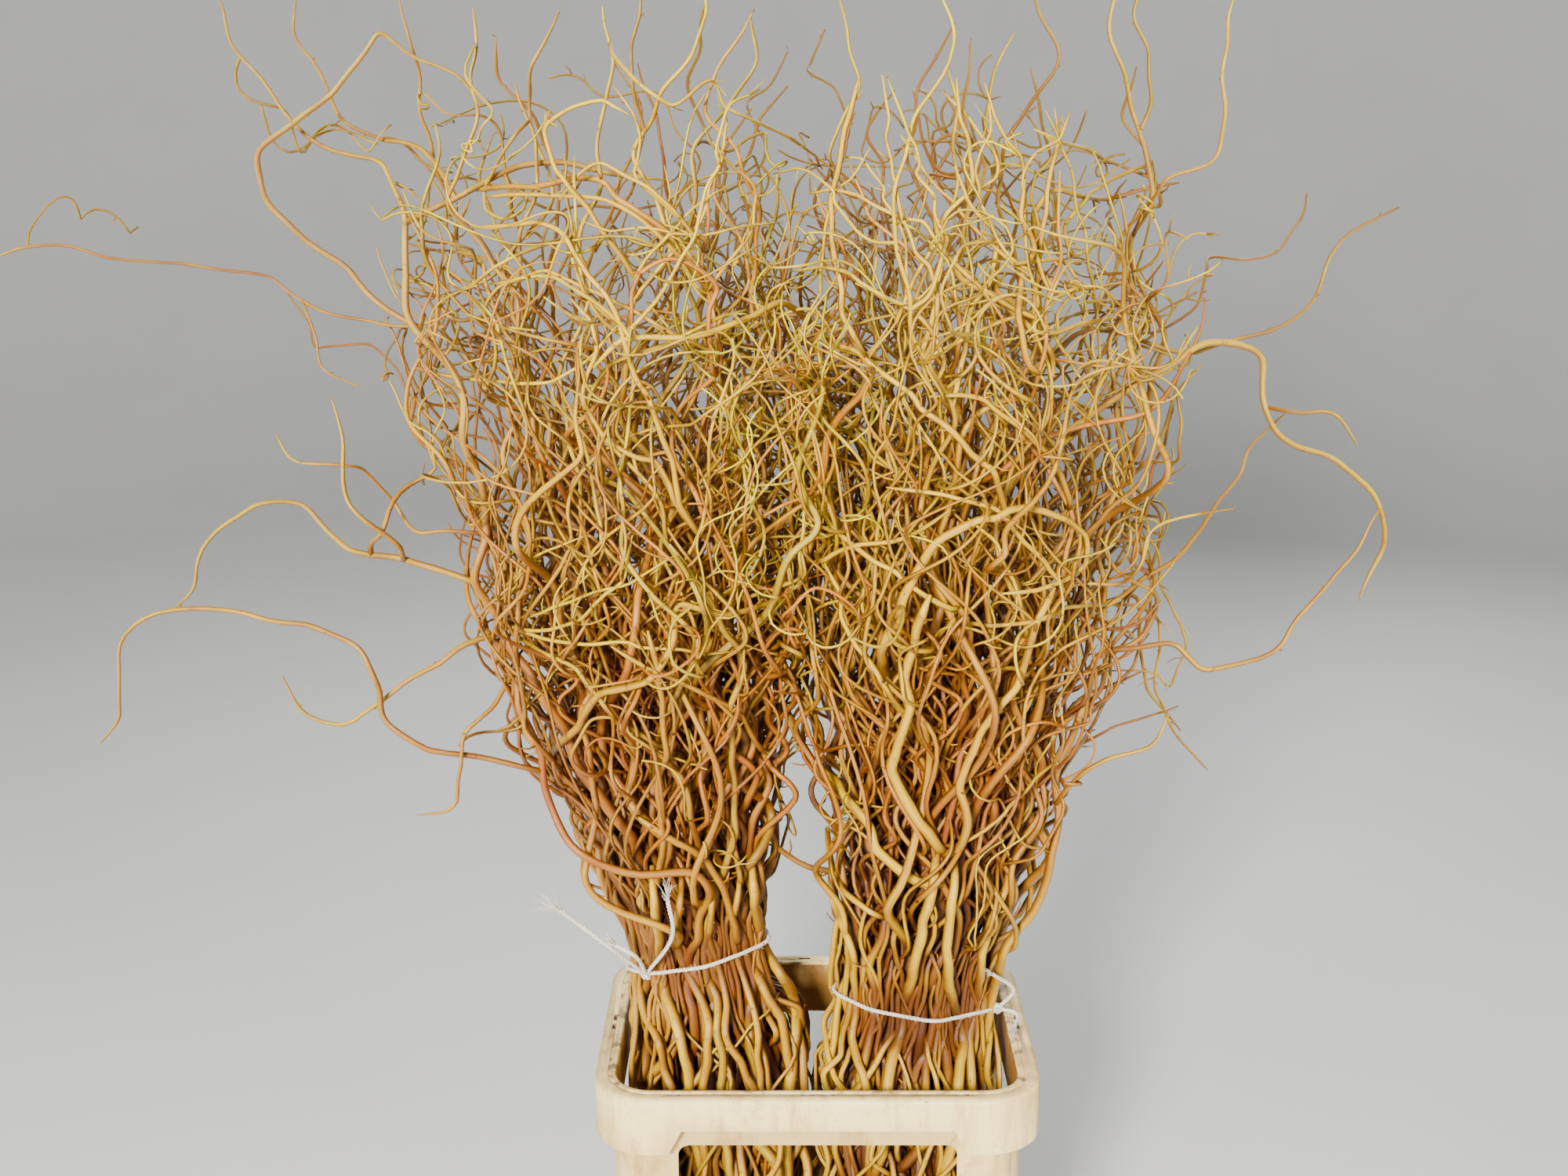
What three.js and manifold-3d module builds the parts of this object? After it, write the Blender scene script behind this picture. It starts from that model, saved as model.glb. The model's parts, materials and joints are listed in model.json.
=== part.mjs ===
// Curly willow in a flower container: two tied bunches of cut corkscrew stems stand side by side in a tub
// that carries a windowed collar. Millimetres, +Z up. The origin is at the centre of the tub's underside,
// +X runs along the container's long side and the front faces -Y.

import * as THREE from "three";
import { mergeVertices } from "three/addons/utils/BufferGeometryUtils.js";
import Module from "manifold-3d";

// ---------------------------------------------------------------- driving dimensions

const GAP = 0.3; // clearance between pieces that rest on each other
const WALL = 3; // plastic wall of the container
const CORNER_STEPS = 4; // facets in each rounded corner of the container

const TUB = {
  footHalfX: 170,
  footHalfY: 120,
  footCorner: 28,
  halfX: 183, // outside of the wall at the ledge
  halfY: 133,
  ledge: 190, // height of the ledge that the collar stands on
  lip: 202, // height of the lip round the collar's foot
  floor: 5,
  chamfer: 3,
  lipClearance: 0.5, // between the lip and the collar's foot
  flareBottom: 184, // the wall flares out to the lip from here
  flareTop: 189,
  ledgeInset: 0.5, // how much thicker the wall is at the ledge
};

const COLLAR = {
  halfX: 183,
  halfY: 133,
  corner: 36,
  top: 450,
  rimHalfX: 200,
  rimHalfY: 150,
  rimThickness: 5,
  rimBevel: 2, // on the rim's upper edges
  rimUnderBevel: 1,
  skirtCorners: 53, // how far the skirt hangs at the corners
  skirtSides: 30, // and along the middle of each side
  skirtRun: 13, // sideways run of the slanted step between the two
};

const WINDOW = { top: 397, bottom: 247, corner: 10, longHalf: 124, shortHalf: 75 };
const THROUGH = 420; // length of a cutter that passes through the whole collar
const STEP_LONG = 120; // half-width of the raised middle of the skirt, long sides
const STEP_SHORT = 70; // and short sides

const SLOT = { length: 11, width: 3, depth: 2.5, pitch: 9, inset: 10, nearCorner: 118 };

const STRING_RADIUS = 2.2;
const STRING_SIDES = 4;
const STRING_STEP = 12; // degrees between the points of a tie round its bunch
const STRING_PLAY = 0.6; // between a tie and the stems that it holds
const TAIL_STEP = 22;
const KNOT_RADIUS = 5.4;
const KNOT_PROUD = 3.4; // how far the knot's middle stands out from the loop

const SEED = 20261;
const STEMS_PER_BUNCH = 28;
const STEM_SIDES = 3;
const CORNER_REACH = 1.2; // a three-sided stem's corner radius over the round stem's radius
const FOOT_HEIGHTS = [TUB.floor + GAP, 110, 215, 320, 415]; // rings of a stem below its tie
const TIE_ORDER = FOOT_HEIGHTS.length; // the ring of a main stem that lies at its tie
const FOOT_BOW = 5; // sideways bow of the stems below the tie
const FOOT_TURN = [2.1, 1.7]; // radians that the bow turns from one ring to the next, across and in depth
const DISC_FILL = 0.94; // the feet fill the bunch's outline up to this share of its half-width
const GOLDEN_ANGLE = 137.508;
const DEPTH_SPREAD = 1.14; // the crowns are a little deeper than wide
const WALL_CLEARANCE = 8; // stems keep this far inside the container's wall
const WALL_REACH = 20; // and do so up to this far above the rim
const MAIN_STEP = 46; // length of a main stem's segments above the tie
const TWIG_STEP = 35;
const TIP_RADIUS = 1.3;
const TWIG_TIP_RADIUS = 1.2;
const TAPER = 0.85; // below 1, a stem thins sooner near its foot
const STEM_RADIUS = { least: 4.3, more: 1.7 };
const STEM_TOP = { least: 1090, more: 360, bias: 0.8, lowerAtEdge: 60 };
const CURL = { size: 15, pitch: 270, atTie: 0.25, above: 0.75 }; // of the mass's stems above the tie
// A corkscrew's pitch as shares of the longest, with a kink of its own size and pitch laid over it.
const CORKSCREW = { leastPitch: 0.62, morePitch: 0.38, kink: 0.45, kinkPitch: 0.61 };
const DRIFT = { share: 0.16, wave: [160, 190] }; // their slow wander across the bunch
const SPREAD_RISE = 220; // height above the tie over which the curl and the drift set in
const ROUTE_STEP = 20;
const TWIG_CURL = { leastPitch: 118, morePitch: 50, swing: 0.75, straight: 30, step: 12 };
const TWIG_START = { sideways: 0.8, along: 0.6 }; // the heading in which a twig leaves its stem
const TWIG_LEVEL = 0.7; // how much a twig's rise takes from its reach outward
const TWIG_TURN = 1.5; // above 1, a twig has its last heading before its end
const TWIG_SHARE = 0.6; // a grown twig is at most this share as thick as its stem
const NEARLY_UP = new THREE.Vector3(0.1, 0.2, 1); // never the heading of a twig itself
const MASS_TWIG = { radius: 2.6, leastLength: 150, moreLength: 120, leastRise: 0.45, moreRise: 0.4 };
// Where a mass stem's twigs fork, as shares of the stretch between its bare foot and its bare tip.
const MASS_FORK = { first: 0.2, spacing: 0.5, play: 0.25, bareFoot: 9, bareTip: 7, outward: 1.3 };
const WILD_RADIUS = 3.2;
const LOWEST_FORK = 60; // height above the tie
const FORK_SHARE = 0.8; // a twig is at most this share as thick as its stem
const CLEARANCE = 0.5; // what the stems are pushed apart to
const PAIR_REACH = 16; // segments nearer than this are watched for contact
const PAIR_ROUNDS = 8; // rounds between two looks for such pairs
const FIRST_RELAX = { rounds: 240, pull: 0.06 };
const LAST_RELAX = { rounds: 900, pull: 0 };
const STIFFNESS = 0.15; // how quickly a segment goes back to its length
const TOUCH = 0.02; // contact that counts as clear

// Each station is a height with the bunch's centre and its half-width there.
const BUNCHES = [
  {
    side: "left",
    stations: [
      [5, -84, 73],
      [450, -93, 79],
      [530, -111, 73],
      [710, -137, 97],
      [880, -145, 138],
      [1040, -165, 160],
      [1250, -160, 175],
      [1480, -150, 190],
    ],
    tie: {
      height: 528,
      tiltX: 0.22,
      tiltY: -0.1,
      knot: -123, // degrees round the bunch, from +X
      tails: [
        [[-186, -96, 572], [-226, -110, 612]],
        [[-128, -104, 582], [-131, -122, 628]],
        [[-160, -100, 560], [-178, -108, 578]],
      ],
    },
  },
  {
    side: "right",
    stations: [
      [5, 84, 73],
      [450, 90, 82],
      [530, 100, 79],
      [710, 112, 104],
      [880, 114, 140],
      [1040, 115, 160],
      [1250, 108, 178],
      [1480, 118, 190],
    ],
    tie: {
      height: 484,
      tiltX: -0.08,
      tiltY: -0.03,
      knot: -12,
      tails: [
        [[180, -50, 505], [158, -70, 532]],
        [[186, -34, 464], [170, -60, 458]],
      ],
    },
  },
];

// The main stems that leave the mass of the bunch, by the bends of each above the tie, with the foot's
// place in the bunch as a fraction of its half-width.
const LEADERS = {
  left: [
    {
      foot: [-0.62, -0.5],
      radius: 6.6,
      tip: 2.2,
      bends: [
        [-150, -74, 630], [-185, -80, 695], [-222, -82, 765], [-250, -82, 825], [-286, -80, 885],
        [-284, -78, 950], [-294, -74, 1010], [-302, -70, 1065], [-335, -66, 1122], [-348, -62, 1165],
        [-338, -58, 1202], [-290, -50, 1222], [-240, -40, 1248], [-190, -32, 1240], [-130, -30, 1232],
      ],
    },
    {
      foot: [-0.1, -0.88],
      radius: 5.2,
      tip: 1.4,
      bends: [
        [-100, -104, 640], [-160, -122, 650], [-212, -118, 672], [-232, -104, 722], [-250, -96, 780],
        [-262, -86, 850], [-246, -80, 920], [-262, -76, 1000], [-240, -76, 1080], [-256, -66, 1150],
        [-232, -56, 1230], [-250, -40, 1310],
      ],
    },
    {
      foot: [-0.42, -0.84],
      radius: 4.8,
      tip: 1.4,
      bends: [
        [-130, -98, 588], [-182, -112, 616], [-208, -108, 642], [-190, -96, 690], [-205, -86, 760],
        [-190, -84, 830], [-214, -86, 900], [-196, -92, 980], [-216, -96, 1060], [-190, -90, 1140],
        [-206, -84, 1220],
      ],
    },
  ],
  right: [
    {
      foot: [0.1, -0.62],
      radius: 6.4,
      tip: 2,
      bends: [
        [112, -62, 600], [96, -70, 690], [86, -76, 780], [104, -80, 870], [138, -78, 945],
        [172, -70, 995], [222, -62, 1030], [262, -60, 1065], [300, -58, 1084], [342, -54, 1102],
        [370, -52, 1086], [382, -54, 1062], [374, -56, 1036], [402, -58, 1012], [440, -60, 1000],
        [466, -60, 978], [482, -60, 950], [480, -60, 915], [466, -60, 880],
      ],
    },
    {
      foot: [0.86, -0.3],
      radius: 5.8,
      tip: 1.5,
      bends: [
        [180, -60, 575], [206, -66, 612], [207, -72, 680], [222, -62, 760], [250, -52, 840],
        [242, -42, 920], [262, -36, 1000], [246, -36, 1080], [266, -32, 1150], [250, -30, 1220],
      ],
    },
    {
      foot: [0.7, 0.3],
      radius: 5.6,
      tip: 1.4,
      bends: [
        [184, 30, 640], [214, 34, 740], [232, 24, 840], [262, 10, 930], [278, -6, 1010],
        [292, -20, 1070], [288, -30, 1112], [264, -34, 1160], [262, -36, 1192], [276, -38, 1235],
        [260, -40, 1282], [240, -42, 1330], [240, -44, 1400], [252, -46, 1450],
      ],
    },
    {
      foot: [0.5, -0.1],
      radius: 5.4,
      tip: 1.3,
      bends: [
        [150, -4, 640], [172, 8, 740], [160, 18, 840], [186, 16, 930], [176, 4, 1020],
        [216, -14, 1100], [256, -24, 1106], [292, -28, 1088], [330, -30, 1094], [372, -32, 1104],
        [406, -34, 1118], [426, -34, 1160], [450, -36, 1194], [482, -38, 1210],
      ],
    },
  ],
};

// Side branches that stand clear of the mass. Each starts at the main stem nearest its first bend.
const SIDE_BRANCHES = {
  left: [
    { radius: 4.4, bends: [[-335, -66, 1122], [-362, -62, 1130], [-392, -58, 1160], [-432, -56, 1190],
      [-450, -54, 1216], [-470, -52, 1232], [-452, -50, 1262], [-424, -46, 1285], [-384, -42, 1316],
      [-360, -40, 1350], [-334, -40, 1332], [-300, -40, 1318], [-278, -38, 1292]] },
    { radius: 3.8, bends: [[-325, -68, 1105], [-352, -50, 1112], [-392, -36, 1118], [-428, -26, 1124],
      [-456, -22, 1146], [-526, -20, 1160], [-596, -18, 1166], [-656, -16, 1178], [-706, -14, 1164]] },
    { radius: 2.2, bends: [[-428, -26, 1124], [-426, -30, 1094], [-418, -34, 1072], [-392, -38, 1060]] },
    { radius: 3.4, bends: [[-286, -80, 885], [-322, -74, 908], [-366, -66, 916], [-410, -56, 926],
      [-436, -50, 952], [-462, -46, 966], [-492, -44, 950], [-522, -42, 938], [-536, -42, 912],
      [-546, -42, 880], [-566, -44, 862]] },
    { radius: 2.6, bends: [[-322, -74, 908], [-352, -92, 930], [-376, -104, 958], [-396, -110, 985],
      [-390, -112, 1022], [-398, -112, 1060]] },
    { radius: 3, bends: [[-265, -82, 850], [-306, -98, 846], [-336, -104, 826], [-375, -106, 800],
      [-406, -106, 780], [-440, -104, 792], [-456, -102, 822]] },
    { radius: 3.2, bends: [[-240, -98, 750], [-296, -118, 756], [-336, -124, 766], [-362, -126, 786],
      [-376, -126, 840], [-406, -124, 866], [-456, -120, 876], [-500, -116, 884], [-556, -112, 880],
      [-586, -110, 856], [-596, -108, 818], [-594, -106, 786], [-614, -106, 764]] },
    { radius: 2.4, bends: [[-252, -84, 825], [-276, -112, 800], [-300, -124, 776], [-304, -130, 736],
      [-325, -132, 702], [-342, -132, 708]] },
    { radius: 2.6, bends: [[-285, -50, 1225], [-336, -10, 1258], [-398, 10, 1272], [-416, 16, 1312],
      [-440, 20, 1336], [-440, 22, 1380]] },
    { radius: 2.4, bends: [[-320, -56, 1212], [-360, -30, 1240], [-420, -20, 1262], [-456, -16, 1300],
      [-482, -14, 1336], [-496, -12, 1382]] },
    { radius: 2.6, bends: [[-250, 60, 1120], [-300, 40, 1180], [-330, 24, 1240], [-338, 10, 1312],
      [-350, 0, 1380]] },
    { radius: 2.4, bends: [[-180, 20, 1180], [-150, 0, 1250], [-156, -14, 1310], [-146, -20, 1400]] },
  ],
  right: [
    { radius: 2.2, bends: [[374, -56, 1036], [398, -74, 1042], [418, -80, 1052], [434, -82, 1036],
      [448, -82, 1018]] },
    { radius: 3, bends: [[245, -46, 870], [296, -20, 892], [336, -6, 924], [360, 2, 960],
      [382, 6, 1000], [410, 8, 1030]] },
    { radius: 3, bends: [[250, -50, 850], [300, -80, 846], [324, -92, 826], [370, -98, 836],
      [402, -98, 866], [432, -98, 906], [446, -98, 930], [466, -98, 966]] },
    { radius: 2.4, bends: [[228, 20, 830], [288, 30, 862], [296, 32, 830], [296, 34, 792],
      [316, 34, 756], [338, 34, 728]] },
    { radius: 2.8, bends: [[207, -72, 690], [224, -92, 728], [252, -102, 750], [286, -106, 762],
      [298, -106, 790]] },
    { radius: 2.6, bends: [[186, 60, 700], [216, 30, 738], [252, 14, 770], [298, 6, 796]] },
    { radius: 2.6, bends: [[262, -40, 1275], [276, -20, 1302], [270, -10, 1336], [260, -4, 1358],
      [272, 0, 1400]] },
    { radius: 2.8, bends: [[226, -40, 1205], [276, -76, 1230], [312, -88, 1250], [322, -92, 1300],
      [316, -92, 1336], [326, -92, 1384]] },
    { radius: 2.4, bends: [[120, 10, 1180], [150, -10, 1240], [136, -30, 1300], [158, -36, 1350]] },
    { radius: 2.4, bends: [[20, 10, 1190], [10, -10, 1250], [30, -24, 1310], [14, -30, 1380]] },
  ],
};

// Wide branches at the front, the back and the ends, by direction round the bunch in degrees.
const WILD_BRANCHES = {
  left: [
    { heading: -100, height: 1010, length: 330, rise: 0.5 },
    { heading: -62, height: 900, length: 290, rise: 0.2 },
    { heading: 95, height: 1040, length: 380, rise: 0.45 },
    { heading: 125, height: 860, length: 400, rise: 0.15 },
    { heading: 70, height: 1160, length: 340, rise: 0.7 },
    { heading: 155, height: 980, length: 380, rise: 0.35 },
  ],
  right: [
    { heading: -85, height: 1060, length: 330, rise: 0.55 },
    { heading: -110, height: 850, length: 280, rise: 0.2 },
    { heading: 85, height: 1000, length: 390, rise: 0.4 },
    { heading: 55, height: 860, length: 420, rise: 0.15 },
    { heading: 110, height: 1170, length: 330, rise: 0.7 },
    { heading: 25, height: 1040, length: 380, rise: 0.4 },
  ],
};

const PLASTIC = { color: 0xe8dcc8, roughness: 0.55, metalness: 0 };
const STRING = { color: 0xe6dcc2, roughness: 0.9, metalness: 0 };
const GOLDEN_BARK = { color: 0xd0a038, roughness: 0.6, metalness: 0 };
const ORANGE_BARK = { color: 0xb87838, roughness: 0.6, metalness: 0 };
const OLIVE_BARK = { color: 0xa08c34, roughness: 0.65, metalness: 0 };
// The barks of the stems, one after the other and over again.
const BARK_ORDER = [GOLDEN_BARK, ORANGE_BARK, GOLDEN_BARK, OLIVE_BARK, ORANGE_BARK];

// ---------------------------------------------------------------- solids

const wasm = await Module();
wasm.setup();

// A seeded generator of numbers from 0 to 1.
function seeded(seed) {
  let state = seed;
  return () => {
    state = (state + 0x6d2b79f5) | 0;
    let t = Math.imul(state ^ (state >>> 15), 1 | state);
    t = (t + Math.imul(t ^ (t >>> 7), 61 | t)) ^ t;
    return ((t ^ (t >>> 14)) >>> 0) / 4294967296;
  };
}

// A closed geometry as a solid that can be joined and cut.
function solidOf(geometry) {
  const bare = geometry.clone();
  bare.deleteAttribute("normal");
  bare.deleteAttribute("uv");
  const merged = mergeVertices(bare, 1e-3);
  const mesh = new wasm.Mesh({
    numProp: 3,
    vertProperties: merged.attributes.position.array,
    triVerts: new Uint32Array(merged.index.array),
  });
  return new wasm.Manifold(mesh);
}

// A solid as a named mesh of the model.
function meshOf(solid, name, finish) {
  const result = solid.getMesh();
  const stride = result.numProp;
  const positions = new Float32Array(result.numVert * 3);
  for (let i = 0; i < result.numVert; i++) {
    positions.set(result.vertProperties.subarray(i * stride, i * stride + 3), i * 3);
  }
  const geometry = new THREE.BufferGeometry();
  geometry.setAttribute("position", new THREE.BufferAttribute(positions, 3));
  geometry.setIndex(new THREE.BufferAttribute(new Uint32Array(result.triVerts), 1));
  geometry.computeVertexNormals();
  const mesh = new THREE.Mesh(geometry, new THREE.MeshStandardMaterial(finish));
  mesh.name = name;
  return mesh;
}

function joined(solids) {
  return solids.reduce((whole, next) => whole.add(next));
}

// Skins rings of equal length. The ends are closed flat, or the last ring meets the first in a loop.
function skin(rings, loop = false) {
  const sides = rings[0].length;
  const vertices = rings.flat();
  const faces = [];
  const spans = loop ? rings.length : rings.length - 1;
  for (let i = 0; i < spans; i++) {
    const low = i * sides;
    const high = ((i + 1) % rings.length) * sides;
    for (let k = 0; k < sides; k++) {
      const next = (k + 1) % sides;
      faces.push(low + k, low + next, high + next);
      faces.push(low + k, high + next, high + k);
    }
  }
  if (!loop) {
    const last = (rings.length - 1) * sides;
    for (let k = 1; k < sides - 1; k++) {
      faces.push(0, k + 1, k);
      faces.push(last, last + k, last + k + 1);
    }
  }
  const geometry = new THREE.BufferGeometry();
  geometry.setAttribute(
    "position",
    new THREE.Float32BufferAttribute(vertices.flatMap((v) => [v.x, v.y, v.z]), 3),
  );
  geometry.setIndex(faces);
  return solidOf(geometry);
}

// A tube through points with a radius at each. Its section is carried along without twist.
function tube(points, radii, sides, { loop = false, levelFoot = false } = {}) {
  const count = points.length;
  const at = (i) => points[(i + count) % count];
  const rings = [];
  let across = null;
  for (let i = 0; i < count; i++) {
    const before = loop || i > 0 ? at(i).clone().sub(at(i - 1)).normalize() : null;
    const after = loop || i < count - 1 ? at(i + 1).clone().sub(at(i)).normalize() : null;
    const along = new THREE.Vector3();
    if (before) along.add(before);
    if (after) along.add(after);
    if (levelFoot && i === 0) along.set(0, 0, 1);
    along.normalize();
    if (!across) {
      across = Math.abs(along.z) > 0.7 ? new THREE.Vector3(1, 0, 0) : new THREE.Vector3(0, 0, 1);
    }
    across.addScaledVector(along, -across.dot(along)).normalize();
    const other = along.clone().cross(across);
    const ring = [];
    for (let k = 0; k < sides; k++) {
      const angle = (2 * Math.PI * k) / sides;
      ring.push(
        at(i)
          .clone()
          .addScaledVector(across, radii[i] * Math.cos(angle))
          .addScaledVector(other, radii[i] * Math.sin(angle)),
      );
    }
    rings.push(ring);
  }
  return skin(rings, loop);
}

// ---------------------------------------------------------------- container

// One level of the container: a rounded rectangle, anticlockwise from above.
function level(halfX, halfY, corner, z) {
  const ring = [];
  for (let quarter = 0; quarter < 4; quarter++) {
    const signX = quarter === 0 || quarter === 3 ? 1 : -1;
    const signY = quarter < 2 ? 1 : -1;
    for (let step = 0; step <= CORNER_STEPS; step++) {
      const angle = ((quarter + step / CORNER_STEPS) * Math.PI) / 2;
      const x = signX * (halfX - corner) + corner * Math.cos(angle);
      const y = signY * (halfY - corner) + corner * Math.sin(angle);
      ring.push(new THREE.Vector3(x, y, z));
    }
  }
  return ring;
}

// Half-sizes of the tub's outside at a height.
function tubSize(z) {
  const share = Math.min(z / TUB.ledge, 1);
  return {
    halfX: THREE.MathUtils.lerp(TUB.footHalfX, TUB.halfX, share),
    halfY: THREE.MathUtils.lerp(TUB.footHalfY, TUB.halfY, share),
    corner: THREE.MathUtils.lerp(TUB.footCorner, COLLAR.corner, share),
  };
}

function tubLevel(z, offset) {
  const size = tubSize(z);
  return level(size.halfX + offset, size.halfY + offset, size.corner + offset, z);
}

function holderBase() {
  const lipInside = TUB.lipClearance;
  const lipOutside = lipInside + WALL;
  const rings = [
    tubLevel(0, -TUB.chamfer),
    tubLevel(TUB.chamfer, 0),
    tubLevel(TUB.flareBottom, 0),
    tubLevel(TUB.flareTop, lipOutside),
    tubLevel(TUB.lip, lipOutside),
    tubLevel(TUB.lip, lipInside),
    tubLevel(TUB.ledge, lipInside),
    tubLevel(TUB.ledge, -WALL - TUB.ledgeInset),
    tubLevel(TUB.floor, -WALL),
  ];
  return skin(rings);
}

function extruded(shape, depth) {
  return new THREE.ExtrudeGeometry(shape, { depth, bevelEnabled: false, curveSegments: 3 });
}

// A window's cutter, standing through the wall. Turned by a quarter it cuts the short sides.
function windowCutter(half, turned) {
  const { top, bottom, corner } = WINDOW;
  const shape = new THREE.Shape();
  shape.absarc(half - corner, bottom + corner, corner, -Math.PI / 2, 0);
  shape.absarc(half - corner, top - corner, corner, 0, Math.PI / 2);
  shape.absarc(corner - half, top - corner, corner, Math.PI / 2, Math.PI);
  shape.absarc(corner - half, bottom + corner, corner, Math.PI, 1.5 * Math.PI);
  const geometry = extruded(shape, THROUGH).translate(0, 0, -THROUGH / 2).rotateX(Math.PI / 2);
  if (turned) geometry.rotateZ(Math.PI / 2);
  return solidOf(geometry);
}

// The cutter that lifts the skirt's lower edge along the middle of two opposite sides.
function skirtCutter(half, turned) {
  const low = COLLAR.top - COLLAR.skirtCorners - 1;
  const high = COLLAR.top - COLLAR.skirtSides;
  const shape = new THREE.Shape();
  shape.moveTo(-half - COLLAR.skirtRun, low);
  shape.lineTo(half + COLLAR.skirtRun, low);
  shape.lineTo(half, high);
  shape.lineTo(-half, high);
  shape.closePath();
  const geometry = extruded(shape, THROUGH).translate(0, 0, -THROUGH / 2).rotateX(Math.PI / 2);
  if (turned) geometry.rotateZ(Math.PI / 2);
  return solidOf(geometry);
}

// The pairs of narrow slots in the rim, at the middle of each side and near the corners.
function rimSlots() {
  const slots = [];
  const place = (x, y, turned) => {
    const sizes = turned ? [SLOT.width, SLOT.length] : [SLOT.length, SLOT.width];
    const box = new THREE.BoxGeometry(sizes[0], sizes[1], 2 * SLOT.depth);
    slots.push(solidOf(box.translate(x, y, COLLAR.top)));
  };
  const y = COLLAR.rimHalfY - SLOT.inset;
  const x = COLLAR.rimHalfX - SLOT.inset;
  for (const side of [-1, 1]) {
    for (const pair of [-SLOT.pitch, SLOT.pitch]) {
      place(pair, side * y, false);
      place(side * x, pair, true);
      place(pair + SLOT.nearCorner * Math.sign(pair), side * y, false);
    }
  }
  return slots;
}

function holderCollar() {
  const { halfX, halfY, corner, top, rimHalfX, rimHalfY, rimThickness } = COLLAR;
  const { rimBevel: bevel, rimUnderBevel: under } = COLLAR;
  const rimCorner = corner + rimHalfX - halfX;
  const out = rimHalfX - halfX;
  const wallAndRim = skin(
    [
      level(halfX, halfY, corner, TUB.ledge + GAP),
      level(halfX, halfY, corner, top - rimThickness),
      level(rimHalfX - under, rimHalfY - under, rimCorner - under, top - rimThickness),
      level(rimHalfX, rimHalfY, rimCorner, top - rimThickness + under),
      level(rimHalfX, rimHalfY, rimCorner, top - bevel),
      level(rimHalfX - bevel, rimHalfY - bevel, rimCorner - bevel, top),
      level(halfX - WALL + bevel, halfY - WALL + bevel, corner - WALL + bevel, top),
      level(halfX - WALL, halfY - WALL, corner - WALL, top - bevel),
      level(halfX - WALL, halfY - WALL, corner - WALL, TUB.ledge + GAP),
    ],
    true,
  );
  const low = top - COLLAR.skirtCorners;
  const high = top - rimThickness + under;
  let skirt = skin(
    [
      level(halfX + out, halfY + out, rimCorner, low),
      level(halfX + out, halfY + out, rimCorner, high),
      level(halfX + out - WALL, halfY + out - WALL, rimCorner - WALL, high),
      level(halfX + out - WALL, halfY + out - WALL, rimCorner - WALL, low),
    ],
    true,
  );
  skirt = skirt.subtract(skirtCutter(STEP_LONG, false)).subtract(skirtCutter(STEP_SHORT, true));
  const windows = joined([windowCutter(WINDOW.longHalf, false), windowCutter(WINDOW.shortHalf, true)]);
  return wallAndRim.subtract(windows).add(skirt).subtract(joined(rimSlots()));
}

// ---------------------------------------------------------------- routes of the stems

function bunchAt(bunch, z) {
  const { stations } = bunch;
  let i = 1;
  while (i < stations.length - 1 && stations[i][0] < z) i++;
  const [z0, centre0, half0] = stations[i - 1];
  const [z1, centre1, half1] = stations[i];
  const share = THREE.MathUtils.clamp((z - z0) / (z1 - z0), 0, 1);
  return {
    centre: THREE.MathUtils.lerp(centre0, centre1, share),
    half: THREE.MathUtils.lerp(half0, half1, share),
  };
}

// Places spread evenly over a disc of radius 1, as seeds lie in a sunflower.
function spreadOverDisc(count) {
  const places = [];
  for (let k = 0; k < count; k++) {
    const radius = DISC_FILL * Math.sqrt((k + 0.5) / count);
    const angle = k * THREE.MathUtils.degToRad(GOLDEN_ANGLE);
    places.push([radius * Math.cos(angle), radius * Math.sin(angle)]);
  }
  return places;
}

// A smooth curve through the points, cut into steps of about the given length.
function resampled(points, step) {
  const curve = new THREE.CatmullRomCurve3(points, false, "centripetal");
  curve.arcLengthDivisions = 40 * points.length;
  return curve.getSpacedPoints(Math.max(1, Math.round(curve.getLength() / step)));
}

// The stretch from the tub's floor to the tie: a few long, gently bowed steps.
function footRoute(bunch, [u, v], draw) {
  const phase = 2 * Math.PI * draw();
  return FOOT_HEIGHTS.map((z, i) => {
    const { centre, half } = bunchAt(bunch, z);
    const bow = i === 0 ? 0 : FOOT_BOW;
    const x = centre + half * u + bow * Math.sin(phase + FOOT_TURN[0] * i);
    const y = half * v + bow * Math.cos(phase + FOOT_TURN[1] * i);
    return new THREE.Vector3(x, y, z);
  });
}

// The corkscrew offset of a stem at a height above the tie.
function corkscrew(draw, size, longest) {
  const turn = draw() < 0.5 ? -1 : 1;
  const pitch = longest * (CORKSCREW.leastPitch + CORKSCREW.morePitch * draw());
  const start = 2 * Math.PI * draw();
  const kink = 2 * Math.PI * draw();
  return (height) => {
    const angle = start + (turn * 2 * Math.PI * height) / pitch;
    const kinked = kink + (2 * Math.PI * height) / (CORKSCREW.kinkPitch * pitch);
    const wave = CORKSCREW.kink * Math.sin(kinked);
    return new THREE.Vector3(size * (Math.cos(angle) + wave), size * (Math.sin(angle) - wave), 0);
  };
}

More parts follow.
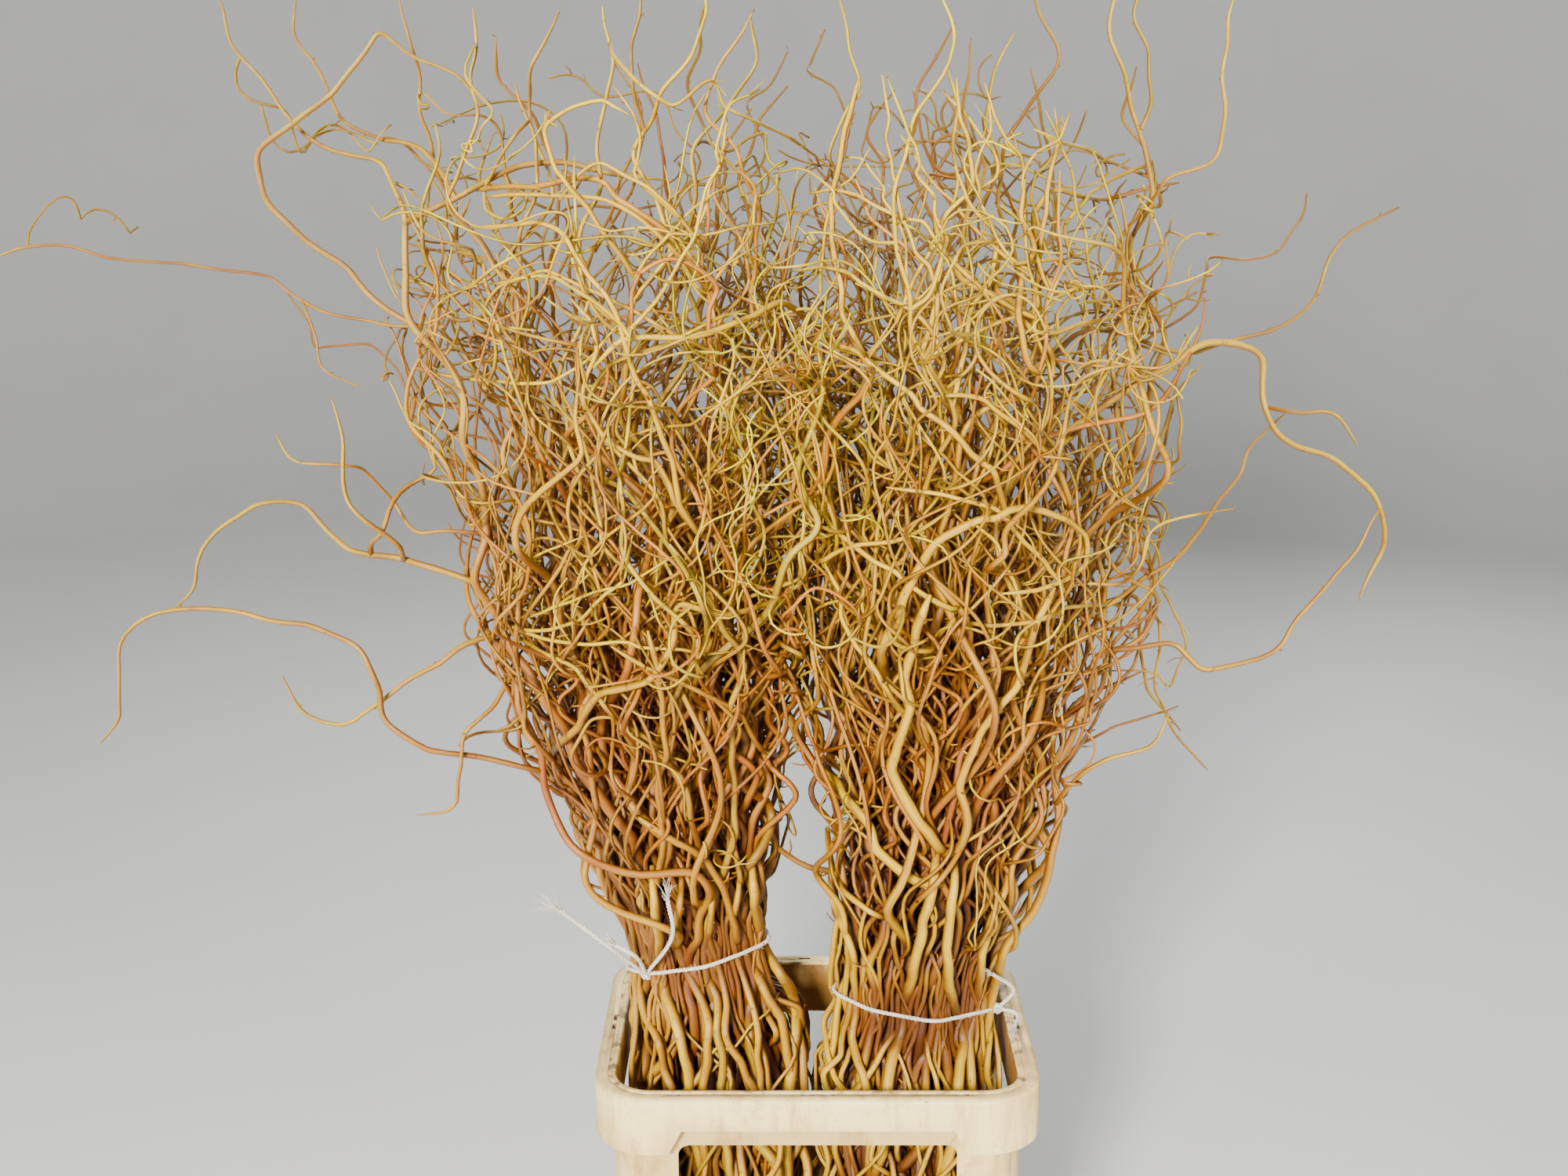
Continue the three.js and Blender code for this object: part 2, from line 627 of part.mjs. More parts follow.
// A main stem inside the mass of the bunch.
function massRoute(bunch, place, draw) {
  const foot = footRoute(bunch, place, draw);
  const { least, more, bias, lowerAtEdge } = STEM_TOP;
  const top = least + more * Math.pow(draw(), bias) - lowerAtEdge * Math.hypot(...place);
  const curl = corkscrew(draw, CURL.size, CURL.pitch);
  const drift = 2 * Math.PI * draw();
  const points = [];
  for (let z = bunch.tie.height; z < top; z += ROUTE_STEP) {
    const { centre, half } = bunchAt(bunch, z);
    const grown = THREE.MathUtils.smoothstep(z, bunch.tie.height, bunch.tie.height + SPREAD_RISE);
    const u = place[0] + DRIFT.share * grown * Math.sin(drift + z / DRIFT.wave[0]);
    const v = place[1] + DRIFT.share * grown * Math.cos(drift + z / DRIFT.wave[1]);
    const offset = curl(z).multiplyScalar(CURL.atTie + CURL.above * grown);
    const depth = half * (1 + (DEPTH_SPREAD - 1) * grown);
    points.push(new THREE.Vector3(centre + half * u, depth * v, z).add(offset));
  }
  return [...foot, ...resampled(points, MAIN_STEP)];
}

// A main stem that leaves the mass along its own bends.
function leaderRoute(bunch, leader, place, draw) {
  const foot = footRoute(bunch, place, draw);
  const { centre, half } = bunchAt(bunch, bunch.tie.height);
  const atTie = new THREE.Vector3(centre + half * place[0], half * place[1], bunch.tie.height);
  const bends = leader.bends.map((bend) => new THREE.Vector3(...bend));
  return [...foot, ...resampled([atTie, ...bends], MAIN_STEP)];
}

// A twig that leaves its stem sideways, turns up and curls.
function twigRoute(root, along, outward, length, rise, draw) {
  const side = outward.clone().addScaledVector(along, -outward.dot(along)).normalize();
  const start = side.multiplyScalar(TWIG_START.sideways).addScaledVector(along, TWIG_START.along).normalize();
  const reach = 1 - TWIG_LEVEL * rise;
  const end = outward.clone().setZ(0).normalize().multiplyScalar(reach).setZ(rise).normalize();
  const phase = 2 * Math.PI * draw();
  const pitch = TWIG_CURL.leastPitch + TWIG_CURL.morePitch * draw();
  const points = [root.clone()];
  const at = root.clone();
  const { step, straight } = TWIG_CURL;
  for (let gone = step; gone <= length; gone += step) {
    const share = Math.min(1, (TWIG_TURN * gone) / length);
    const heading = start.clone().lerp(end, share).normalize();
    const beside = heading.clone().cross(NEARLY_UP).normalize();
    const above = beside.clone().cross(heading);
    const angle = phase + (2 * Math.PI * gone) / pitch;
    const swing = gone < straight ? 0 : TWIG_CURL.swing;
    heading.addScaledVector(beside, swing * Math.cos(angle));
    heading.addScaledVector(above, swing * Math.sin(angle));
    at.addScaledVector(heading.normalize(), step);
    points.push(at.clone());
  }
  return resampled(points, TWIG_STEP);
}

// ---------------------------------------------------------------- the thicket of stems, kept apart

// All stems as points with radii, joined in strands. A twig's strand starts at a point of its stem.
const thicket = { points: [], aims: [], radii: [], heights: [], strands: [], free: [] };

function addPoint(place, radius, free = true) {
  thicket.points.push(place.clone());
  thicket.aims.push(place.clone());
  thicket.radii.push(radius);
  thicket.heights.push(null);
  thicket.free.push(free);
  return thicket.points.length - 1;
}

function taper(share, thick, thin) {
  return THREE.MathUtils.lerp(thick, thin, Math.pow(share, TAPER));
}

function addStem(bunch, name, route, thick, thin) {
  const last = route.length - 1;
  const indices = route.map((place, i) => addPoint(place, CORNER_REACH * taper(i / last, thick, thin)));
  thicket.heights[indices[0]] = FOOT_HEIGHTS[0];
  thicket.heights[indices[TIE_ORDER]] = bunch.tie.height;
  const strand = { bunch, name, indices, main: true };
  thicket.strands.push(strand);
  return strand;
}

function addTwig(bunch, name, rootIndex, route, thick, thin) {
  const rest = route.slice(1);
  const limit = FORK_SHARE * thicket.radii[rootIndex];
  const indices = rest.map((place, i) => {
    const radius = CORNER_REACH * taper((i + 1) / rest.length, thick, thin);
    return addPoint(place, Math.min(radius, limit));
  });
  const strand = { bunch, name, indices: [rootIndex, ...indices], main: false };
  strand.rootRadius = Math.min(CORNER_REACH * thick, limit);
  thicket.strands.push(strand);
  return strand;
}

// The inner points of the strands of a bunch from which a new twig may grow.
function openRoots(bunch, lowest) {
  const taken = new Set();
  for (const strand of thicket.strands) {
    if (!strand.main) taken.add(strand.indices[0]);
  }
  const found = [];
  for (const strand of thicket.strands) {
    if (strand.bunch !== bunch) continue;
    for (let i = strand.main ? TIE_ORDER + 1 : 2; i < strand.indices.length - 2; i++) {
      const index = strand.indices[i];
      if (thicket.points[index].z < lowest || taken.has(index)) continue;
      found.push({ strand, index, order: i });
    }
  }
  return found;
}

function nearestRoot(bunch, place) {
  const roots = openRoots(bunch, bunch.tie.height + LOWEST_FORK);
  const distance = (root) => thicket.points[root.index].distanceTo(place);
  return roots.reduce((best, root) => (distance(root) < distance(best) ? root : best));
}

// Takes the place nearest to the wanted one out of the list.
function takeNearest(places, wanted) {
  const away = (place) => Math.hypot(place[0] - wanted[0], place[1] - wanted[1]);
  const nearest = places.reduce((best, place) => (away(place) < away(best) ? place : best));
  places.splice(places.indexOf(nearest), 1);
  return nearest;
}

// Grows the mains of a bunch: the leaders first, and the rest on the places that they leave free.
function growMains(bunch, draw) {
  const leaders = LEADERS[bunch.side];
  const places = spreadOverDisc(STEMS_PER_BUNCH);
  const label = (number) => `willow_${bunch.side}_${String(number).padStart(2, "0")}`;
  leaders.forEach((leader, i) => {
    const place = takeNearest(places, leader.foot);
    addStem(bunch, label(i + 1), leaderRoute(bunch, leader, place, draw), leader.radius, leader.tip);
  });
  places.forEach((place, i) => {
    const thick = STEM_RADIUS.least + STEM_RADIUS.more * draw();
    addStem(bunch, label(leaders.length + i + 1), massRoute(bunch, place, draw), thick, TIP_RADIUS);
  });
}

function growSideBranches(bunch) {
  for (const branch of SIDE_BRANCHES[bunch.side]) {
    const bends = branch.bends.map((bend) => new THREE.Vector3(...bend));
    const root = nearestRoot(bunch, bends[0]);
    const from = thicket.points[root.index].clone();
    const route = resampled([from, ...bends.slice(1)], TWIG_STEP);
    addTwig(bunch, root.strand.name, root.index, route, branch.radius, TIP_RADIUS);
  }
}

function growWildBranches(bunch, draw) {
  for (const { heading, height, length, rise } of WILD_BRANCHES[bunch.side]) {
    const angle = THREE.MathUtils.degToRad(heading);
    const outward = new THREE.Vector3(Math.cos(angle), Math.sin(angle), 0);
    const { centre, half } = bunchAt(bunch, height);
    const edge = outward.clone().multiplyScalar(half).add(new THREE.Vector3(centre, 0, height));
    const root = nearestRoot(bunch, edge);
    growTwig(bunch, root, outward, length, rise, WILD_RADIUS, draw);
  }
}

function growTwig(bunch, root, outward, length, rise, thick, draw) {
  const { strand, index, order } = root;
  const along = thicket.points[strand.indices[order + 1]].clone().sub(thicket.points[index]).normalize();
  const route = twigRoute(thicket.points[index], along, outward, length, rise, draw);
  const radius = Math.min(thick, TWIG_SHARE * thicket.radii[index]);
  addTwig(bunch, strand.name, index, route, radius, TWIG_TIP_RADIUS);
}

// One or two twigs on each main stem of the mass.
function growMassTwigs(bunch, draw) {
  const leaders = LEADERS[bunch.side].length;
  const { first, spacing, play, bareFoot, bareTip } = MASS_FORK;
  const mains = thicket.strands.filter((strand) => strand.main && strand.bunch === bunch);
  mains.slice(leaders).forEach((strand, number) => {
    const twigs = number % 2 ? 1 : 2;
    for (let k = 0; k < twigs; k++) {
      const share = first + spacing * k + play * draw();
      const order = Math.round(THREE.MathUtils.lerp(bareFoot, strand.indices.length - bareTip, share));
      const index = strand.indices[order];
      const here = thicket.points[index];
      const { centre, half } = bunchAt(bunch, here.z);
      const off = new THREE.Vector3(here.x - centre, here.y, 0).divideScalar(half);
      const around = 2 * Math.PI * draw();
      const turned = new THREE.Vector3(Math.cos(around), Math.sin(around), 0);
      const outward = off.multiplyScalar(MASS_FORK.outward).add(turned);
      const length = MASS_TWIG.leastLength + MASS_TWIG.moreLength * draw();
      const rise = MASS_TWIG.leastRise + MASS_TWIG.moreRise * draw();
      growTwig(bunch, { strand, index, order }, outward.setZ(0), length, rise, MASS_TWIG.radius, draw);
    }
  });
}

// ---------------------------------------------------------------- relaxing the thicket

function segmentsOf(strands) {
  const segments = [];
  strands.forEach((strand, number) => {
    const { indices } = strand;
    const count = strand.loop ? indices.length : Math.max(1, indices.length - 1);
    for (let i = 0; i < count; i++) {
      const a = indices[i];
      const b = indices[(i + 1) % indices.length];
      const length = thicket.points[a].distanceTo(thicket.points[b]);
      segments.push({ a, b, order: i, strand: number, name: strand.name, length });
    }
  });
  return segments;
}

// Two segments of one stem meet at a fork or follow each other, so they are never pushed apart.
function belongTogether(s, t) {
  if (s.name !== t.name) return false;
  if (s.strand === t.strand) return Math.abs(s.order - t.order) <= 2;
  return s.a === t.a || s.a === t.b || s.b === t.a || s.b === t.b;
}

function closePairs(segments, reach) {
  const boxes = segments.map(({ a, b }) => {
    const box = new THREE.Box3().setFromPoints([thicket.points[a], thicket.points[b]]);
    return box.expandByScalar(reach / 2 + Math.max(thicket.radii[a], thicket.radii[b]));
  });
  const order = segments.map((_, i) => i).sort((i, j) => boxes[i].min.z - boxes[j].min.z);
  const pairs = [];
  for (let m = 0; m < order.length; m++) {
    const i = order[m];
    for (let n = m + 1; n < order.length; n++) {
      const j = order[n];
      if (boxes[j].min.z > boxes[i].max.z) break;
      if (!boxes[i].intersectsBox(boxes[j])) continue;
      if (belongTogether(segments[i], segments[j])) continue;
      if (!thicket.free[segments[i].a] && !thicket.free[segments[j].a]) continue;
      pairs.push([segments[i], segments[j]]);
    }
  }
  return pairs;
}

const fromS = new THREE.Vector3();
const fromT = new THREE.Vector3();
const between = new THREE.Vector3();

// Where along each of two segments they come closest, as shares of their lengths.
function closestShares(s, t) {
  const { points } = thicket;
  fromS.subVectors(points[s.b], points[s.a]);
  fromT.subVectors(points[t.b], points[t.a]);
  between.subVectors(points[s.a], points[t.a]);
  const ss = Math.max(fromS.lengthSq(), 1e-9);
  const tt = Math.max(fromT.lengthSq(), 1e-9);
  const st = fromS.dot(fromT);
  const sb = fromS.dot(between);
  const tb = fromT.dot(between);
  const spread = ss * tt - st * st;
  const clamp = (value) => Math.min(Math.max(value, 0), 1);
  let onS = spread > 1e-9 ? clamp((st * tb - sb * tt) / spread) : 0.5;
  const onT = clamp((st * onS + tb) / tt);
  onS = clamp((st * onT - sb) / ss);
  return [onS, onT];
}

const push = new THREE.Vector3();
const pointS = new THREE.Vector3();
const pointT = new THREE.Vector3();

// Pushes two segments apart where they are closer than their radii allow, and returns what was missing.
function separate(s, t, margin) {
  const { points, radii, free } = thicket;
  const [onS, onT] = closestShares(s, t);
  pointS.lerpVectors(points[s.a], points[s.b], onS);
  pointT.lerpVectors(points[t.a], points[t.b], onT);
  const radiusS = THREE.MathUtils.lerp(radii[s.a], radii[s.b], onS);
  const radiusT = THREE.MathUtils.lerp(radii[t.a], radii[t.b], onT);
  const wanted = radiusS + radiusT + margin;
  push.subVectors(pointS, pointT);
  const apart = push.length();
  if (apart >= wanted) return 0;
  if (apart < 1e-3) push.crossVectors(fromS, fromT).add(new THREE.Vector3(0.01, 0.02, 0));
  push.normalize();
  const shares = [
    [s.a, 1 - onS, 1],
    [s.b, onS, 1],
    [t.a, 1 - onT, -1],
    [t.b, onT, -1],
  ];
  let weight = 0;
  for (const [index, share] of shares) if (free[index]) weight += share * share;
  const amount = (wanted - apart) / Math.max(weight, 1e-6);
  for (const [index, share, sign] of shares) {
    if (free[index]) points[index].addScaledVector(push, sign * amount * share);
  }
  return wanted - apart;
}

// Keeps a point inside the container's walls while it is below the rim.
function keepInside(index) {
  const place = thicket.points[index];
  if (place.z > COLLAR.top + WALL_REACH) return;
  const size = tubSize(place.z);
  const inset = WALL + WALL_CLEARANCE + thicket.radii[index];
  const cornerX = size.halfX - size.corner;
  const cornerY = size.halfY - size.corner;
  const reach = size.corner - inset;
  const dx = Math.abs(place.x) - cornerX;
  const dy = Math.abs(place.y) - cornerY;
  if (dx > 0 && dy > 0) {
    const out = Math.hypot(dx, dy);
    if (out > reach) {
      place.x = Math.sign(place.x) * (cornerX + (dx * reach) / out);
      place.y = Math.sign(place.y) * (cornerY + (dy * reach) / out);
    }
    return;
  }
  if (dx > reach) place.x = Math.sign(place.x) * (cornerX + reach);
  if (dy > reach) place.y = Math.sign(place.y) * (cornerY + reach);
}

function keepLength(segment) {
  const { points, free } = thicket;
  push.subVectors(points[segment.b], points[segment.a]);
  const error = (push.length() - segment.length) / Math.max(push.length(), 1e-6);
  if (free[segment.a]) points[segment.a].addScaledVector(push, STIFFNESS * error);
  if (free[segment.b]) points[segment.b].addScaledVector(push, -STIFFNESS * error);
}

// Moves the stems clear of each other while they keep their forms. The pull to the drawn forms fades out.
function relax({ rounds, pull }) {
  const segments = segmentsOf(thicket.strands);
  const { points, aims, heights, free } = thicket;
  let pairs = [];
  for (let round = 0; round < rounds; round++) {
    if (round % PAIR_ROUNDS === 0) pairs = closePairs(segments, PAIR_REACH);
    const strength = pull * (1 - round / rounds);
    for (let i = 0; i < points.length; i++) {
      if (free[i] && strength > 0) points[i].lerp(aims[i], strength);
    }
    if (strength > 0) segments.forEach(keepLength);
    let worst = 0;
    for (const [s, t] of pairs) worst = Math.max(worst, separate(s, t, CLEARANCE));
    for (let i = 0; i < points.length; i++) {
      if (!free[i]) continue;
      if (heights[i] !== null) points[i].z = heights[i];
      keepInside(i);
    }
    if (strength === 0 && worst < TOUCH && (round + 1) % PAIR_ROUNDS === 0) break;
  }
}

// ---------------------------------------------------------------- ties

function tiePlane(bunch, x, y) {
  const { centre } = bunchAt(bunch, bunch.tie.height);
  return bunch.tie.height + bunch.tie.tiltX * (x - centre) + bunch.tie.tiltY * y;
}

// The string's way round the bunch: the tight outline of the stems that it holds.
function tieLoop(bunch) {
  const stems = thicket.strands.filter((strand) => strand.main && strand.bunch === bunch);
  const discs = stems.map((strand) => {
    const index = strand.indices[TIE_ORDER];
    return { place: thicket.points[index], radius: thicket.radii[index] + STRING_PLAY + STRING_RADIUS };
  });
  const loop = [];
  for (let angle = 0; angle < 360; angle += STRING_STEP) {
    const radians = THREE.MathUtils.degToRad(angle);
    const out = new THREE.Vector3(Math.cos(radians), Math.sin(radians), 0);
    const reach = (disc) => disc.place.x * out.x + disc.place.y * out.y + disc.radius;
    const outer = discs.reduce((best, disc) => (reach(disc) > reach(best) ? disc : best));
    const point = outer.place.clone().addScaledVector(out, outer.radius);
    point.z = tiePlane(bunch, point.x, point.y);
    loop.push(point);
  }
  return loop;
}

// The whole tie as centre lines: the loop, the knot's middle and the tails from it.
function tieRoutes(bunch) {
  const loop = tieLoop(bunch);
  const start = Math.round((bunch.tie.knot + 360) / STRING_STEP) % loop.length;
  const { centre } = bunchAt(bunch, bunch.tie.height);
  const out = loop[start].clone().sub(new THREE.Vector3(centre, 0, loop[start].z)).normalize();
  const knot = loop[start].clone().addScaledVector(out, KNOT_PROUD);
  const tails = bunch.tie.tails.map((bends) => {
    const route = bends.map((bend) => new THREE.Vector3(...bend));
    return resampled([knot, ...route], TAIL_STEP);
  });
  return { loop, knot, tails };
}

// Sets a tie's centre lines in the thicket as things that the stems must clear.
function addTieToThicket(bunch, routes) {
  const name = `tie_${bunch.side}`;
  const fixed = (place, radius) => addPoint(place, radius, false);
  const loop = routes.loop.map((place) => fixed(place, STRING_RADIUS));
  thicket.strands.push({ bunch, name, indices: loop, loop: true });
  const knot = fixed(routes.knot, KNOT_RADIUS);
  thicket.strands.push({ bunch, name, indices: [knot, knot] });
  for (const tail of routes.tails) {
    const indices = tail.map((place) => fixed(place, STRING_RADIUS));
    thicket.strands.push({ bunch, name, indices });
  }
}

function tieSolid(routes) {
  const even = (points) => points.map(() => STRING_RADIUS);
  const solids = [tube(routes.loop, even(routes.loop), STRING_SIDES, { loop: true })];
  const knot = new THREE.IcosahedronGeometry(KNOT_RADIUS, 0);
  solids.push(solidOf(knot.translate(...routes.knot.toArray())));
  for (const tail of routes.tails) {
    solids.push(tube(tail, even(tail), STRING_SIDES));
  }
  return joined(solids);
}

// ---------------------------------------------------------------- the whole model

function stemSolid(name) {
  const strands = thicket.strands.filter((strand) => strand.name === name);
  const solids = strands.map((strand) => {
    const places = strand.indices.map((index) => thicket.points[index]);
    const radii = strand.indices.map((index) => thicket.radii[index]);
    if (!strand.main) radii[0] = strand.rootRadius;
    return tube(places, radii, STEM_SIDES, { levelFoot: strand.main });
  });
  return joined(solids);
}

function growThicket() {
  const draw = seeded(SEED);
  BUNCHES.forEach((bunch) => growMains(bunch, draw));
  BUNCHES.forEach((bunch) => growSideBranches(bunch));
  BUNCHES.forEach((bunch) => growWildBranches(bunch, draw));
  BUNCHES.forEach((bunch) => growMassTwigs(bunch, draw));
  relax(FIRST_RELAX);
  const ties = BUNCHES.map((bunch) => tieRoutes(bunch));
  BUNCHES.forEach((bunch, i) => addTieToThicket(bunch, ties[i]));
  relax(LAST_RELAX);
  return ties;
}

function buildModel() {
  const model = new THREE.Group();
  model.name = "curly_willow_in_container";
  const holder = new THREE.Group();
  holder.add(meshOf(holderBase(), "holder_base", PLASTIC));
  holder.add(meshOf(holderCollar(), "holder_collar", PLASTIC));
  model.add(holder);

  const ties = growThicket();
  BUNCHES.forEach((bunch, i) => {
    const group = new THREE.Group();
    const stems = thicket.strands.filter((strand) => strand.main && strand.bunch === bunch);
    stems.forEach(({ name }, number) => {
      group.add(meshOf(stemSolid(name), name, BARK_ORDER[number % BARK_ORDER.length]));
    });
    group.add(meshOf(tieSolid(ties[i]), `tie_${bunch.side}`, STRING));
    model.add(group);
  });
  return model;
}

const model = buildModel();

export default model;
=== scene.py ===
"""Curly willow in a flower container, dressed for the render.

Two tied bunches of cut corkscrew willow stand in an off-white container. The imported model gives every
stem's run: it is read back ring by ring, smoothed, and grown over with finer twigs, spurs and buds.
Metres, in the row's own frame.
"""

import json
import random
from bisect import bisect_left
from math import ceil, copysign, cos, hypot, pi, radians, sin, sqrt

import bmesh
import bpy
import numpy as np
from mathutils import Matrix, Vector
from mathutils.geometry import convex_hull_2d

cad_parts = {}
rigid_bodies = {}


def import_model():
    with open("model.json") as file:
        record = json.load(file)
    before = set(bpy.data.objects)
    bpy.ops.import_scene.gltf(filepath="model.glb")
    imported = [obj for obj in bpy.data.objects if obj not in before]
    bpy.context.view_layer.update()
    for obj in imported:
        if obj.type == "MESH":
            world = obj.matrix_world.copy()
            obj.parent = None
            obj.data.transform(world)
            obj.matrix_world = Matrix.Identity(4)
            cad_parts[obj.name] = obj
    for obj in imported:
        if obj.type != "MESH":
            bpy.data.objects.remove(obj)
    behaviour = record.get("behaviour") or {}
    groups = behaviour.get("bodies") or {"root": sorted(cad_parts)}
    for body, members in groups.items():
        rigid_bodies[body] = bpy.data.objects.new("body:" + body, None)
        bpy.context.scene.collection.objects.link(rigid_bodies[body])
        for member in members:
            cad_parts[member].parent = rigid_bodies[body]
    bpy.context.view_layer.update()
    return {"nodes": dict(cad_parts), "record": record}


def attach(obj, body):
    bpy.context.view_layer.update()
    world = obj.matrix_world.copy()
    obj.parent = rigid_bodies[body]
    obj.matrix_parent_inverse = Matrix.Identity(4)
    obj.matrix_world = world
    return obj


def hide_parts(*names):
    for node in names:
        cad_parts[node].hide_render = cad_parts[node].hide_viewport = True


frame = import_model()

MM = 0.001
TURN = 2 * pi
UP = np.array((0.0, 0.0, 1.0))
BODY = "root"

# ---------------------------------------------------------------- camera, floor and light

CAMERA_PLACE = (-0.030, -1.713, 1.310)
CAMERA_PITCH = 14.3  # degrees below the horizontal
SENSOR_WIDTH = 36.0
LENS = 45.45
STAGE_RADIUS = 7.0
STAGE_WALL = 5.0
STAGE_BEND = 2.5
STAGE_SIDES = 64
LIT_MIDDLE = Vector((0, 0, 0.9))


def linked(name, data):
    """A new object in the scene."""
    thing = bpy.data.objects.new(name, data)
    bpy.context.scene.collection.objects.link(thing)
    return thing


def make_camera():
    data = bpy.data.cameras.new("camera")
    data.sensor_fit = "HORIZONTAL"
    data.sensor_width = SENSOR_WIDTH
    data.lens = LENS
    data.clip_end = 100.0
    camera = linked("camera", data)
    camera.location = CAMERA_PLACE
    camera.rotation_euler = (radians(90 - CAMERA_PITCH), 0, 0)
    bpy.context.scene.camera = camera


def bands(count, starts):
    """The faces between rings of a count of corners, which start at the corners given."""
    faces = []
    for low, high in zip(starts, starts[1:]):
        for k in range(count):
            n = (k + 1) % count
            faces.append((low + k, low + n, high + n, high + k))
    return faces


def make_floor(material):
    """A flat floor that curves up into a round wall, so that no horizon shows."""
    profile = [(STAGE_RADIUS, STAGE_WALL)]
    for step in range(12, -1, -1):
        angle = pi / 2 * step / 12
        profile.append((STAGE_RADIUS - STAGE_BEND * (1 - sin(angle)), STAGE_BEND * (1 - cos(angle))))
    profile += [(4.0, 0.0), (2.0, 0.0)]
    angles = [TURN * k / STAGE_SIDES for k in range(STAGE_SIDES)]
    points = [(r * cos(a), r * sin(a), z) for r, z in profile for a in angles] + [(0, 0, 0)]
    centre = len(points) - 1
    faces = bands(STAGE_SIDES, range(0, centre, STAGE_SIDES))
    last = centre - STAGE_SIDES
    faces += [(last + k, last + (k + 1) % STAGE_SIDES, centre) for k in range(STAGE_SIDES)]
    mesh = bpy.data.meshes.new("floor")
    mesh.from_pydata(points, [], faces)
    mesh.shade_smooth()
    mesh.materials.append(material)
    floor = linked("floor", mesh)


def make_light(name, place, size, power, color=(1, 1, 1)):
    data = bpy.data.lights.new(name, "AREA")
    data.shape = "DISK"
    data.size = size
    data.energy = power
    data.color = color
    light = linked(name, data)
    light.location = place
    light.rotation_euler = (LIT_MIDDLE - Vector(place)).to_track_quat("-Z", "Y").to_euler()


def make_lights():
    make_light("key", (-0.8, -3.4, 2.0), 0.6, 430, (1.0, 0.98, 0.94))
    make_light("fill", (2.6, -1.9, 1.7), 2.4, 18)
    make_light("top", (0.2, 0.5, 3.6), 1.2, 34)
    make_light("back", (0.8, 3.0, 2.4), 2.0, 50)
    world = bpy.data.worlds.new("studio")
    bpy.context.scene.world = world
    world.use_nodes = True
    back = world.node_tree.nodes["Background"]
    back.inputs["Color"].default_value = (0.92, 0.95, 1.0, 1)
    back.inputs["Strength"].default_value = 0.18


# ---------------------------------------------------------------- materials


class Nodes:
    """A short way to write a material's node tree."""

    def __init__(self, name):
        self.material = bpy.data.materials.new(name)
        self.material.use_nodes = True
        self.tree = self.material.node_tree
        self.place = self.add("TexCoord").outputs["Object"]

    def add(self, kind, *values, **settings):
        """A node with its settings and, in the order of its inputs, the sockets or values that feed them."""
        node = self.tree.nodes.new("ShaderNode" + kind)
        for key, value in settings.items():
            setattr(node, key, value)
        for socket, value in zip(node.inputs, values):
            if value is not None:
                self.feed(value, socket)
        return node

    def feed(self, value, socket):
        if isinstance(value, bpy.types.NodeSocket):
            self.tree.links.new(value, socket)
        else:
            socket.default_value = value

    def noise(self, vector, scale, detail=3.0, roughness=0.55):
        return self.add("TexNoise", vector, None, scale, detail, roughness).outputs["Fac"]

    def remap(self, value, low, high, to_low=0.0, to_high=1.0):
        return self.add("MapRange", value, low, high, to_low, to_high).outputs["Result"]

    def math(self, operation, a, b=0.0):
        return self.add("Math", a, b, operation=operation).outputs[0]

    def stretched(self, vector, *scale):
        return self.add("Mapping", vector, None, None, scale).outputs["Vector"]

    def attribute(self, name, output="Fac"):
        return self.add("Attribute", attribute_name=name).outputs[output]

    def coat(self, color, coat, value, low, high, to_low, to_high):
        """The colour with a coat over it: a value from low to high brings the coat from to_low to to_high."""
        share = self.remap(value, low, high, to_low, to_high)
        unused = (None,) * 5
        return self.add("Mix", share, *unused, color, coat, data_type="RGBA").outputs[2]

    def coats(self, color, *rows):
        """The colour under coats: each comes on as its value goes from low to high, up to its most."""
        for coat, value, *span in rows:
            low, high, most = span or (0.0, 1.0, 1.0)
            color = self.coat(color, coat, value, low, high, 0.0, most)
        return color

    def done(self, bump=None, distance=0.0, strength=0.0, **inputs):
        """The material, with its inputs fed by name and perhaps a bump."""
        shader = self.tree.nodes["Principled BSDF"]
        for name, value in inputs.items():
            self.feed(value, shader.inputs[name.replace("_", " ")])
        if bump is not None:
            node = self.add("Bump")
            for name, value in (("Height", bump), ("Distance", distance), ("Strength", strength)):
                self.feed(value, node.inputs[name])
            self.feed(node.outputs["Normal"], shader.inputs["Normal"])
        return self.material


def rgba(r, g, b):
    """An sRGB colour of 0 to 255 as the linear colour that a shader takes."""
    shares = [value / 255 for value in (r, g, b)]
    return (*(s / 12.92 if s <= 0.04045 else ((s + 0.055) / 1.055) ** 2.4 for s in shares), 1.0)


BARKS = {
    # slot: thick wood, its shade, thin wood, tips
    "bark_golden": (rgba(222, 176, 6), rgba(152, 88, 12), rgba(218, 190, 10), rgba(228, 212, 16)),
    "bark_orange": (rgba(212, 150, 10), rgba(142, 72, 12), rgba(214, 176, 12), rgba(226, 206, 14)),
    "bark_olive": (rgba(190, 155, 8), rgba(122, 82, 12), rgba(206, 184, 8), rgba(222, 208, 18)),
}
BUD_COLOR = rgba(96, 52, 26)
PINK_TWIG = rgba(196, 96, 32)
# painted shade inside the bunches, and the colour of a deeper band above the ties
DEEP_RED_AND_PAINTED_SHADE = rgba(132, 46, 12)
# a branch's own bright bark, and the painted light on the outer runs below the crown
BRIGHT_WOOD_AND_PAINTED_LIGHT = rgba(228, 190, 0)
# painted shade on the sides of the runs that face away from the light
SHADED_BARK = rgba(104, 47, 8)
CUT_WOOD = rgba(228, 206, 160)
# painted shade on the runs in the gaps between the outer ones
PAINTED_GAP_SHADE_COLOR = rgba(44, 22, 8)
CLEAN_PLASTIC = rgba(255, 227, 152)
DUSTY_PLASTIC = rgba(238, 194, 118)
STAIN = rgba(150, 100, 34)
DARK_STAIN = rgba(92, 66, 40)


